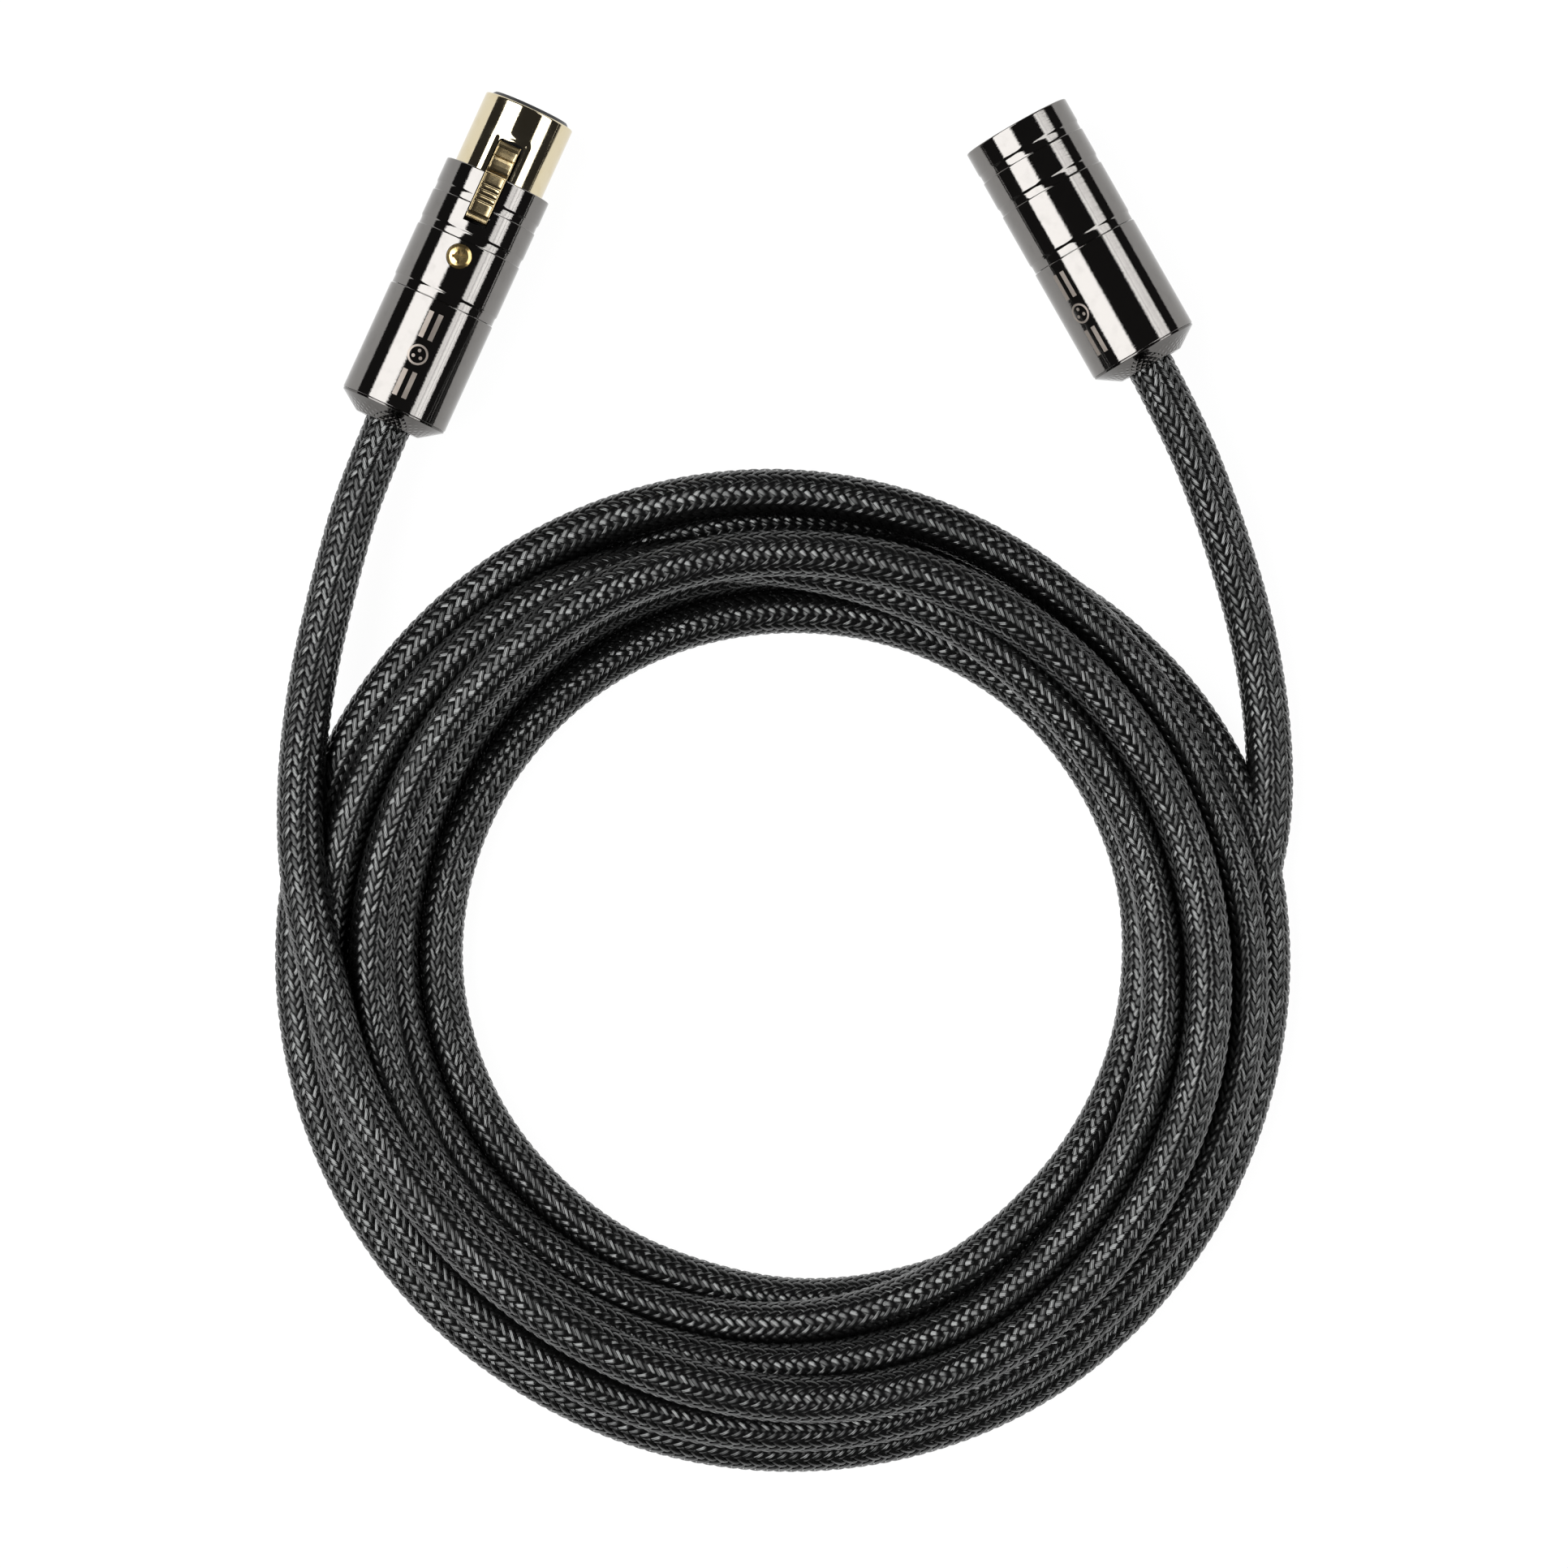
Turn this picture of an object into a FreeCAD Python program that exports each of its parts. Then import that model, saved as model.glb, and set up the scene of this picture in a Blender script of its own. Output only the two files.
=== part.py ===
"""A three metre microphone cable, coiled, with a three-pole connector on each end.

Every connector piece is drawn in its connector's own frame: +Z runs forward along the barrel from the
barrel's rear edge, +Y points to the latch side, and the finished piece is then laid down on the floor.
The row frame is millimetres, +Z up, with its origin under the middle of the whole object.
"""
import FreeCAD, Part
import math
import os
import re

import Sketcher

doc = FreeCAD.newDocument("coiled_cable")
sheet = doc.addObject("Spreadsheet::Sheet", "Sizes")

SIZES = [
    ("cable_diameter", 8.0, "over the braided sleeve"),
    ("running_gap", 0.05, "radial gap of a turned fit"),
    ("seam_gap", 0.1, "gap that shows as a seam"),
    ("nip", 0.1, "how far a collet bites into the cable"),
    # The coil: radii from its own centre, heights from the floor.
    ("coil_place_x", 0.1, "centre of the coil"),
    ("coil_place_y", -30.7, "centre of the coil"),
    ("coil_inner_radius", 50.8, "inside of the innermost turn"),
    ("coil_outer_radius", 85.4, "outside of the outermost turn"),
    ("coil_inner_height", 12.0, "top of the coil along its inside"),
    ("coil_outer_height", 15.0, "top of the coil along its outside"),
    ("coil_height", 27.0, "top of the crossing turns"),
    ("coil_crown_inner", 65.0, "where the flat crown starts"),
    ("coil_crown_outer", 74.0, "where the flat crown ends"),
    # Where each connector lies: the middle of the barrel's rear edge.
    ("female_place_x", -65.0, ""),
    ("female_place_y", 62.4, ""),
    ("female_heading", -24.5, "degrees, counterclockwise from +Y"),
    ("female_roll", 0.0, "degrees about its own axis"),
    ("male_place_x", 60.2, ""),
    ("male_place_y", 72.2, ""),
    ("male_heading", 29.6, "degrees, counterclockwise from +Y"),
    ("male_roll", -39.0, "degrees about its own axis"),
    # Rear end, the same make on both connectors.
    ("female_barrel_radius", 9.3, ""),
    ("male_barrel_radius", 9.45, ""),
    ("female_sleeve_length", 19.3, "rear edge to the first groove"),
    ("male_sleeve_length", 19.9, "rear edge to the first groove"),
    ("cap_length", 2.8, "the cone behind the barrel"),
    ("cap_rim", 0.35, "straight rim in front of the cone"),
    ("cap_tip_radius", 5.6, "flat end that the cable leaves by"),
    ("cap_ledge", 0.12, "how far the cap stands in from the barrel"),
    ("cap_cable_gap", 0.35, "radial gap round the cable"),
    ("sleeve_bore_radius", 7.6, ""),
    ("cap_spigot_length", 5.2, "thread of the cap in the sleeve"),
    ("collet_length", 7.0, ""),
    ("collet_slit", 0.8, ""),
    ("collet_slit_length", 5.0, ""),
    ("thread_radius", 8.15, "thread of the housing in the sleeve"),
    ("thread_length", 6.0, ""),
    ("cable_end", 14.0, "where the jacket is cut back"),
    ("cable_lead_out", 12.0, "how far the cable runs on straight behind the barrel"),
    # Grooves turned into the housings, measured from the rear edge.
    ("groove_depth", 0.17, ""),
    ("groove_width", 1.7, ""),
    ("groove_edge", 0.35, "length of each groove's sloping edge"),
    ("female_groove_two", 30.0, ""),
    ("female_groove_three", 36.2, ""),
    ("male_groove_two", 30.8, ""),
    ("male_groove_three", 37.2, ""),
    # Female front.
    ("female_housing_end", 42.0, ""),
    ("nose_radius", 7.9, ""),
    ("nose_wall", 0.8, ""),
    ("nose_start", 24.0, "shoulder that the shell seats on"),
    ("nose_length", 12.7, "past the housing"),
    ("nose_round", 0.7, "rounded front edge"),
    ("shoulder_lip", 0.9, "how far the housing's shoulder covers the shell's end"),
    ("female_insert_start", 26.0, ""),
    ("insert_stand_proud", 0.6, "past the nose"),
    ("insert_chamfer", 0.55, ""),
    # Male front.
    ("male_housing_end", 43.0, ""),
    ("mouth_gap", 0.2, "radial gap round a mating nose"),
    ("mouth_depth", 12.0, ""),
    ("male_insert_length", 7.0, ""),
    ("notch_gap", 0.3, "round the latch's hook in its catch"),
    ("mouth_chamfer", 0.4, ""),
    # Contacts.
    ("contact_edge", 2.6, "contact circle in from the nose shell's inside"),
    ("contact_rise", 25.0, "degrees that contacts 1 and 2 stand above level"),
    ("pin_radius", 1.2, ""),
    ("pin_setback", 1.0, "pin tips behind the mouth's rim"),
    ("pin_tip", 0.6, "chamfered tip"),
    ("socket_gap", 0.03, "radial gap round a mating pin"),
    ("socket_depth", 12.0, ""),
    ("socket_radius", 1.65, "outside of a socket"),
    ("socket_setback", 1.0, "sockets behind the insert's face"),
    ("cup_radius", 1.35, "solder cup"),
    ("cup_bore_radius", 0.95, ""),
    ("cup_length", 3.4, ""),
    ("cup_reach", 4.0, "cup end behind the insert"),
    ("lead_radius", 0.75, "insulated wire"),
    ("lead_start_radius", 1.8, "wires side by side in the cut end"),
    ("lead_straight", 1.6, "straight piece at each end of a wire"),
    ("ring_thickness", 1.5, "ground ring"),
    ("ring_gap", 0.15, "radial gap round the solder cups"),
    # Latch, in the plane across which it swings.
    ("latch_width", 3.8, ""),
    ("latch_side_gap", 0.2, ""),
    ("latch_end_gap", 0.4, ""),
    ("latch_back", 8.4, "rear lip behind the housing's front"),
    ("latch_pivot_back", 7.0, ""),
    ("latch_pivot_depth", 1.0, "below the barrel's surface"),
    ("latch_pin_radius", 0.4, ""),
    ("latch_pin_length", 6.2, ""),
    ("latch_depth", 0.6, "underside below the nose's surface"),
    ("latch_pad_depth", 0.2, "below the barrel's surface"),
    ("latch_pad_back", 6.1, ""),
    ("latch_pad_stop", 0.3, ""),
    ("latch_lip_rise", 0.1, "above the barrel's surface"),
    ("latch_dish_rise", 0.3, "dished middle above the nose's surface"),
    ("latch_hook_ahead", 3.5, "ahead of the housing"),
    ("latch_hook_rise", 0.95, "above the nose's surface"),
    ("latch_hook_flat", 1.1, ""),
    ("latch_ahead", 6.3, "front end ahead of the housing"),
    ("latch_nose_height", 0.45, "front face above the underside"),
    ("rib_height", 0.22, ""),
    ("rib_count", 5, ""),
    ("channel_depth", 3.1, "groove in the insert, below the nose's surface"),
    ("slot_front_gap", 0.6, "slot in front of the hook"),
    ("spring_radius", 1.05, "to the middle of the wire"),
    ("spring_wire_radius", 0.18, ""),
    ("spring_pitch", 0.62, ""),
    ("spring_back", 2.6, ""),
    # Retaining screws.
    ("screw_place", 27.3, ""),
    ("screw_radius", 1.0, ""),
    ("screw_head_radius", 2.1, ""),
    ("screw_head_under", 0.45, "under the head, below the barrel's surface"),
    ("screw_head_edge", 0.45, "straight edge of the head"),
    ("screw_head_dome", 0.45, ""),
    ("female_screw_reach", 4.8, "tip of the screw from the axis"),
    ("screw_contact_gap", 0.45, "between the male screw's tip and contact 3"),
    ("cross_width", 0.5, ""),
    ("cross_length", 2.2, ""),
    ("cross_depth", 0.5, ""),
]
for row, (alias, number, note) in enumerate(SIZES, start=1):
    sheet.set(f"A{row}", alias)
    sheet.set(f"B{row}", str(number))
    sheet.set(f"C{row}", note)
    sheet.setAlias(f"B{row}", alias)
doc.recompute()


# Places and sizes that follow from the ones above, which expressions may use by name too.
DERIVED = {
    "nose_end": "female_housing_end + nose_length",
    "mouth_radius": "nose_radius + mouth_gap",
    "male_insert_end": "male_housing_end - mouth_depth",
    "male_insert_start": "male_housing_end - mouth_depth - male_insert_length",
    "contact_circle_radius": "nose_radius - nose_wall - contact_edge",
    "male_screw_reach": "contact_circle_radius + socket_radius + screw_contact_gap",
    "latch_start": "female_housing_end - latch_back",
    "latch_pivot_z": "female_housing_end - latch_pivot_back",
    "latch_pivot_y": "female_barrel_radius - latch_pivot_depth",
    "latch_under": "nose_radius - latch_depth",
    "latch_pad_top": "female_barrel_radius - latch_pad_depth",
    "latch_pad_start": "female_housing_end - latch_pad_back",
    "latch_pad_end": "female_housing_end - latch_pad_stop",
    "latch_lip_top": "female_barrel_radius + latch_lip_rise",
    "latch_dish": "nose_radius + latch_dish_rise",
    "latch_hook_start": "female_housing_end + latch_hook_ahead",
    "latch_hook_top": "nose_radius + latch_hook_rise",
    "latch_end": "female_housing_end + latch_ahead",
    "channel_floor": "nose_radius - channel_depth",
    "spring_place": "female_housing_end - spring_back",
}
for row, (alias, formula) in enumerate(DERIVED.items(), start=len(SIZES) + 1):
    sheet.set(f"A{row}", alias)
    sheet.setAlias(f"B{row}", alias)
    sheet.set(f"B{row}", "=" + formula)
doc.recompute()


def sized(text):
    """The text of an expression, with each plain word turned into that cell of the sheet."""
    return re.sub(r"\b[a-z][a-z_]*\b(?!\()", lambda word: "Sizes." + word.group(0), str(text))


def size(text):
    """The number that an expression of the sheet's cells comes to."""
    return float(sheet.evalExpression(sized(text)))


def origin_plane(body, role):
    """One of a body's own origin planes."""
    return next(feature for feature in body.Origin.OriginFeatures if feature.Role == role)


def outline(body, points, plane="XZ_Plane"):
    """A closed sketch on a body's plane, with every corner held by the sheet."""
    sketch = body.newObject("Sketcher::SketchObject", body.Name + "_outline")
    sketch.AttachmentSupport = [(origin_plane(body, plane), "")]
    sketch.MapMode = "FlatFace"
    corners = [FreeCAD.Vector(size(across), size(along), 0) for across, along in points]
    for corner, following in zip(corners, corners[1:] + corners[:1]):
        sketch.addGeometry(Part.LineSegment(corner, following))
    for index, (across, along) in enumerate(points):
        after = (index + 1) % len(points)
        sketch.addConstraint(Sketcher.Constraint("Coincident", index, 2, after, 1))
        for kind, axis, text in (("DistanceX", -2, across), ("DistanceY", -1, along)):
            if text == "0":
                sketch.addConstraint(Sketcher.Constraint("PointOnObject", index, 1, axis))
                continue
            number = sketch.addConstraint(Sketcher.Constraint(kind, -1, 1, index, 1, size(text)))
            sketch.setExpression(f"Constraints[{number}]", sized(text))
    return sketch


def turned(name, points):
    """A body turned round +Z from (radius, height) corners."""
    body = doc.addObject("PartDesign::Body", name)
    sketch = outline(body, points)
    turn = body.newObject("PartDesign::Revolution", name + "_turn")
    turn.Profile = sketch
    turn.ReferenceAxis = (sketch, ["V_Axis"])
    turn.Angle = 360
    return body


def box(name, x, y, z):
    """A block between two expressions on each axis."""
    block = doc.addObject("Part::Box", name)
    for side, axis, (low, high) in zip(("Length", "Width", "Height"), "xyz", (x, y, z)):
        block.setExpression(side, sized(f"({high}) - ({low})"))
        block.setExpression(f"Placement.Base.{axis}", sized(low))
    return block


def rod(name, radius, z, x="0", y="0"):
    """A cylinder along +Z at (x, y), between two expressions on its axis."""
    low, high = z
    cylinder = doc.addObject("Part::Cylinder", name)
    cylinder.setExpression("Radius", sized(radius))
    cylinder.setExpression("Height", sized(f"({high}) - ({low})"))
    for axis, text in zip("xyz", (x, y, low)):
        cylinder.setExpression(f"Placement.Base.{axis}", sized(text))
    return cylinder


def upright(name, radius, y, z):
    """A cylinder along +Y, which crosses the barrel's axis at height z."""
    low, high = y
    cylinder = doc.addObject("Part::Cylinder", name)
    cylinder.setExpression("Radius", sized(radius))
    cylinder.setExpression("Height", sized(f"({high}) - ({low})"))
    cylinder.Placement.Rotation = FreeCAD.Rotation(FreeCAD.Vector(1, 0, 0), -90)
    cylinder.setExpression("Placement.Base.y", sized(low))
    cylinder.setExpression("Placement.Base.z", sized(z))
    return cylinder


def less(name, base, *tools):
    """The base with every tool cut away."""
    cut = doc.addObject("Part::Cut", name)
    cut.Base = base
    cut.Tool = tools[0] if len(tools) == 1 else joined(name + "_tools", *tools)
    return cut


def joined(name, *pieces):
    """Several shapes as one."""
    fuse = doc.addObject("Part::MultiFuse", name)
    fuse.Shapes = list(pieces)
    return fuse


def carried(name, piece):
    """A compound that holds one piece, so that the piece can be moved before it is laid down."""
    carrier = doc.addObject("Part::Compound", name)
    carrier.Links = [piece]
    return carrier


finished = []


def finish(piece, label):
    """Give a sub-part its own name."""
    piece.Label = label
    finished.append(piece)
    return piece


def barrel_middle(end):
    """The point on the floor frame where a connector's rear edge is centred."""
    return FreeCAD.Vector(
        size(f"{end}_place_x"), size(f"{end}_place_y"), size(f"{end}_barrel_radius")
    )


def lay_down(piece, end):
    """Lay a connector's piece on the floor: its axis level, on its heading, turned by its roll."""
    heading = FreeCAD.Rotation(FreeCAD.Vector(0, 0, 1), size(f"{end}_heading"))
    level = FreeCAD.Rotation(FreeCAD.Vector(0, 1, 1), 180)
    roll = FreeCAD.Rotation(FreeCAD.Vector(0, 0, 1), size(f"{end}_roll"))
    piece.Placement = FreeCAD.Placement(barrel_middle(end), heading * level * roll)


def connector_piece(piece, end, name):
    """Finish one piece of a connector and lay it down."""
    finish(piece, f"{end}_{name}")
    lay_down(piece, end)


def groove(radius, start):
    """The outline's corners along one groove, from its rear edge to its front edge."""
    floor = f"{radius} - groove_depth"
    end = f"{start} + groove_width"
    return [
        (radius, start),
        (floor, f"{start} + groove_edge"),
        (floor, f"{end} - groove_edge"),
        (radius, end),
    ]


CONTACT_TURNS = {
    "female": {1: "contact_rise", 2: "180 - contact_rise", 3: "270"},
    "male": {1: "180 - contact_rise", 2: "contact_rise", 3: "270"},
}


def contact_place(end, number, radius="contact_circle_radius"):
    """Where a contact's axis stands, as expressions."""
    turn = CONTACT_TURNS[end][number]
    return f"{radius} * cos(({turn}) * 1deg)", f"{radius} * sin(({turn}) * 1deg)"


def rear_end(end, cup_start):
    """The cap, sleeve, collet and wires, which both connectors have."""
    barrel = f"{end}_barrel_radius"
    sleeve_end = f"{end}_sleeve_length"
    cable_hole = "cable_diameter / 2 + cap_cable_gap"
    cap = turned(
        f"{end}_cap_body",
        [
            (cable_hole, "0 - cap_length"),
            ("cap_tip_radius", "0 - cap_length"),
            (f"{barrel} - cap_ledge", "0 - cap_rim"),
            (f"{barrel} - cap_ledge", "0"),
            ("sleeve_bore_radius - running_gap", "0"),
            ("sleeve_bore_radius - running_gap", "cap_spigot_length"),
            (cable_hole, "cap_spigot_length"),
        ],
    )
    connector_piece(cap, end, "end_cap")

    socket_floor = f"{sleeve_end} - thread_length - seam_gap"
    sleeve = turned(
        f"{end}_sleeve_body",
        [
            ("sleeve_bore_radius", "0"),
            (barrel, "0"),
            (barrel, f"{sleeve_end} - seam_gap"),
            ("thread_radius + running_gap", f"{sleeve_end} - seam_gap"),
            ("thread_radius + running_gap", socket_floor),
            ("sleeve_bore_radius", socket_floor),
        ],
    )
    connector_piece(sleeve, end, "sleeve")

    ring = turned(
        f"{end}_collet_ring",
        [
            ("cable_diameter / 2 - nip", "cap_spigot_length"),
            ("sleeve_bore_radius - running_gap", "cap_spigot_length"),
            ("sleeve_bore_radius - running_gap", "cap_spigot_length + collet_length - 1"),
            ("sleeve_bore_radius - running_gap - 1", "cap_spigot_length + collet_length"),
            ("cable_diameter / 2 - nip", "cap_spigot_length + collet_length"),
        ],
    )
    half_slit = ("0 - collet_slit / 2", "collet_slit / 2")
    wide = ("0 - sleeve_bore_radius", "sleeve_bore_radius")
    deep = ("cap_spigot_length - 1", "cap_spigot_length + collet_slit_length")
    slit_one = box(f"{end}_slit_one", half_slit, wide, deep)
    slit_two = box(f"{end}_slit_two", wide, half_slit, deep)
    connector_piece(less(f"{end}_collet_cut", ring, slit_one, slit_two), end, "collet")

    for number in CONTACT_TURNS[end]:
        near = [size(text) for text in contact_place(end, number, "lead_start_radius")]
        far = [size(text) for text in contact_place(end, number)]
        start = size("cable_end")
        finish_z = size(f"{cup_start} + cup_length / 2")
        straight = size("lead_straight")
        stations = [
            FreeCAD.Vector(*near, start),
            FreeCAD.Vector(*near, start + straight),
            FreeCAD.Vector(*far, size(cup_start) - straight),
            FreeCAD.Vector(*far, finish_z),
        ]
        wire = doc.addObject("Part::Feature", f"{end}_wire_{number}")
        wire.Shape = tube(stations, size("lead_radius"))
        connector_piece(wire, end, f"lead_{number}")


def retaining_screw(end, side):
    """A cross-head screw through the housing's wall; side is 1 on the latch side, -1 opposite."""
    barrel = f"{end}_barrel_radius"
    under = f"{barrel} - screw_head_under"
    edge = f"{under} + screw_head_edge"
    dome = f"{edge} + screw_head_dome"
    blank = turned(
        f"{end}_screw_blank",
        [
            ("0", f"{end}_screw_reach"),
            ("screw_radius", f"{end}_screw_reach"),
            ("screw_radius", under),
            ("screw_head_radius", under),
            ("screw_head_radius", edge),
            ("screw_head_radius * 0.75", f"{edge} + screw_head_dome * 0.7"),
            ("screw_head_radius * 0.4", dome),
            ("0", dome),
        ],
    )
    cross = []
    for arm, x, y in (("one", "cross_length", "cross_width"), ("two", "cross_width", "cross_length")):
        across = (f"0 - {x} / 2", f"{x} / 2")
        along = (f"0 - {y} / 2", f"{y} / 2")
        depth = (f"{dome} - cross_depth", f"{dome} + 1")
        cross.append(box(f"{end}_cross_{arm}", across, along, depth))
    screw = less(f"{end}_screw_cut", blank, *cross)
    screw.Placement = FreeCAD.Placement(
        FreeCAD.Vector(0, 0, size("screw_place")), FreeCAD.Rotation(FreeCAD.Vector(1, 0, 0), -90 * side)
    )
    connector_piece(carried(f"{end}_screw_stood", screw), end, "screw")


def screw_holes(end, radius, side):
    """Tools for the clearance hole and the head's seat in a housing."""
    barrel = f"{end}_barrel_radius"
    under = f"{barrel} - screw_head_under"
    hole = (f"{end}_screw_reach - 0.3", f"{barrel} + 1")
    seat = (under, f"{barrel} + 1")
    if side < 0:
        hole = (f"0 - ({hole[1]})", f"0 - ({hole[0]})")
        seat = (f"0 - ({seat[1]})", f"0 - ({seat[0]})")
    name = f"{end}_{radius.replace(' ', '').replace('+', '_')}"
    return (
        upright(name + "_hole", radius, hole, "screw_place"),
        upright(name + "_seat", "screw_head_radius + seam_gap", seat, "screw_place"),
    )


def tangent_path(points):
    """Straight runs joined by tangent arcs, each as large as its two runs allow."""
    edges = []
    radii = []
    previous = points[0]
    for before, corner, after in zip(points, points[1:], points[2:]):
        back = (before - corner).normalize()
        ahead = (after - corner).normalize()
        half_turn = (math.pi - back.getAngle(ahead)) / 2
        shorter = min((before - corner).Length, (after - corner).Length)
        reach = 0.45 * shorter
        radius = reach / math.tan(half_turn)
        radii.append(radius)
        entry = corner + back * reach
        leave = corner + ahead * reach
        middle = (back + ahead).normalize()
        crown = corner + middle * (radius / math.cos(half_turn) - radius)
        edges.append(Part.LineSegment(previous, entry).toShape())
        edges.append(Part.Arc(entry, crown, leave).toShape())
        previous = leave
    edges.append(Part.LineSegment(previous, points[-1]).toShape())
    return Part.Wire(edges), radii


def tube(points, radius):
    """A solid round tube along a route."""
    path, radii = tangent_path(points)
    start = points[0]
    ring = Part.Wire([Part.makeCircle(radius, start, points[1] - start)])
    solid = path.makePipeShell([ring], True, False)
    expected = math.pi * radius**2 * path.Length
    print(
        f"tube r {radius:.2f} mm, {path.Length:.1f} mm long, bends {min(radii):.0f} to"
        f" {max(radii):.0f} mm, volume {solid.Volume / expected:.4f} of section times length"
    )
    return solid


def latch_slot(name, half_width, floor):
    """The clear space for the latch, from a floor upwards."""
    return box(
        name,
        (f"0 - ({half_width})", half_width),
        (floor, "female_barrel_radius + 1"),
        ("latch_start - latch_end_gap", "latch_end + slot_front_gap"),
    )


def female_front():
    """The housing, nose shell, insert, sockets, ground ring, latch and screw."""
    end = "female"
    barrel = "female_barrel_radius"
    bore = "nose_radius + running_gap"
    shoulder = "nose_radius - shoulder_lip"
    blank = turned(
        "female_housing_blank",
        [
            (shoulder, "female_sleeve_length - thread_length"),
            ("thread_radius", "female_sleeve_length - thread_length"),
            ("thread_radius", "female_sleeve_length"),
            (f"{barrel} - groove_depth", "female_sleeve_length"),
            (f"{barrel} - groove_depth", "female_sleeve_length + groove_width - groove_edge"),
            (barrel, "female_sleeve_length + groove_width"),
            *groove(barrel, "female_groove_two"),
            *groove(barrel, "female_groove_three"),
            (barrel, "female_housing_end"),
            (bore, "female_housing_end"),
            (bore, "nose_start"),
            (shoulder, "nose_start"),
        ],
    )
    slot = latch_slot("housing_slot", "latch_width / 2 + latch_side_gap", "channel_floor")
    pin_hole = cross_pin("housing_pin_hole", "latch_pin_radius")
    housing = less(
        "female_housing_cut", blank, slot, pin_hole, *screw_holes(end, "screw_radius + seam_gap", 1)
    )
    connector_piece(housing, end, "housing")

    inner = "nose_radius - nose_wall"
    shell = turned(
        "female_nose_blank",
        [
            (inner, "nose_start"),
            ("nose_radius", "nose_start"),
            ("nose_radius", "nose_end - nose_round"),
            ("nose_radius - nose_round * 0.3", "nose_end - nose_round * 0.3"),
            ("nose_radius - nose_round", "nose_end"),
            (inner, "nose_end"),
        ],
    )
    nose_slot = latch_slot("nose_slot", "latch_width / 2 + 2 * latch_side_gap", "channel_floor")
    nose_hole = upright(
        "nose_screw_hole",
        "screw_radius + seam_gap",
        ("female_screw_reach", "nose_radius + 1"),
        "screw_place",
    )
    connector_piece(less("female_nose_cut", shell, nose_slot, nose_hole), end, "nose")

    face = "nose_end + insert_stand_proud"
    block = turned(
        "female_insert_blank",
        [
            ("0", "female_insert_start"),
            (f"{inner} - running_gap", "female_insert_start"),
            (f"{inner} - running_gap", f"{face} - insert_chamfer"),
            (f"{inner} - running_gap - insert_chamfer", face),
            ("0", face),
        ],
    )
    insert_slot = latch_slot("insert_slot", "latch_width / 2 + 2 * latch_side_gap", "channel_floor")
    insert_screw_hole = upright(
        "insert_screw_hole",
        "screw_radius + running_gap",
        ("female_screw_reach - 0.3", "nose_radius"),
        "screw_place",
    )
    holes = [
        rod(
            f"female_hole_{number}",
            "socket_radius + running_gap",
            ("female_insert_start - 1", f"{face} + 1"),
            *contact_place(end, number),
        )
        for number in CONTACT_TURNS[end]
    ]
    connector_piece(
        less("female_insert_cut", block, insert_slot, insert_screw_hole, *holes), end, "insert"
    )

    front = f"{face} - socket_setback"
    cup_start = "female_insert_start - cup_reach"
    for number in CONTACT_TURNS[end]:
        socket = turned(
            f"female_socket_{number}",
            [
                ("0", f"{cup_start} + cup_length"),
                ("cup_bore_radius", f"{cup_start} + cup_length"),
                ("cup_bore_radius", cup_start),
                ("cup_radius", cup_start),
                ("cup_radius", "female_insert_start + 1"),
                ("socket_radius", "female_insert_start + 1"),
                ("socket_radius", front),
                ("pin_radius + socket_gap", front),
                ("pin_radius + socket_gap", f"{front} - socket_depth"),
                ("0", f"{front} - socket_depth"),
            ],
        )
        stand_at(socket, end, number)

    ground_ring(end, inner, "female_insert_start")
    retaining_screw(end, 1)
    latch()
    rear_end(end, cup_start)


def stand_at(contact, end, number):
    """Move a contact from the barrel's axis to its own place, then lay it down."""
    across, up = contact_place(end, number)
    contact.setExpression("Placement.Base.x", sized(across))
    contact.setExpression("Placement.Base.y", sized(up))
    connector_piece(carried(f"{end}_contact_{number}_placed", contact), end, f"contact_{number}")


def ground_ring(end, outside, insert_start):
    """A flat ring behind the insert that ties the shell to contact 1."""
    inside = "contact_circle_radius + cup_radius + ring_gap"
    ring = turned(
        f"{end}_ring_body",
        [
            (inside, f"{insert_start} - ring_thickness"),
            (f"{outside} - running_gap", f"{insert_start} - ring_thickness"),
            (f"{outside} - running_gap", insert_start),
            (inside, insert_start),
        ],
    )
    connector_piece(ring, end, "ground_ring")


def cross_pin(name, radius):
    """A cylinder along X through the latch's pivot."""
    pin = doc.addObject("Part::Cylinder", name)
    pin.setExpression("Radius", sized(radius))
    pin.setExpression("Height", sized("latch_pin_length"))
    pin.Placement.Rotation = FreeCAD.Rotation(FreeCAD.Vector(0, 1, 0), 90)
    pin.setExpression("Placement.Base.x", sized("0 - latch_pin_length / 2"))
    pin.setExpression("Placement.Base.y", sized("latch_pivot_y"))
    pin.setExpression("Placement.Base.z", sized("latch_pivot_z"))
    return pin


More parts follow.
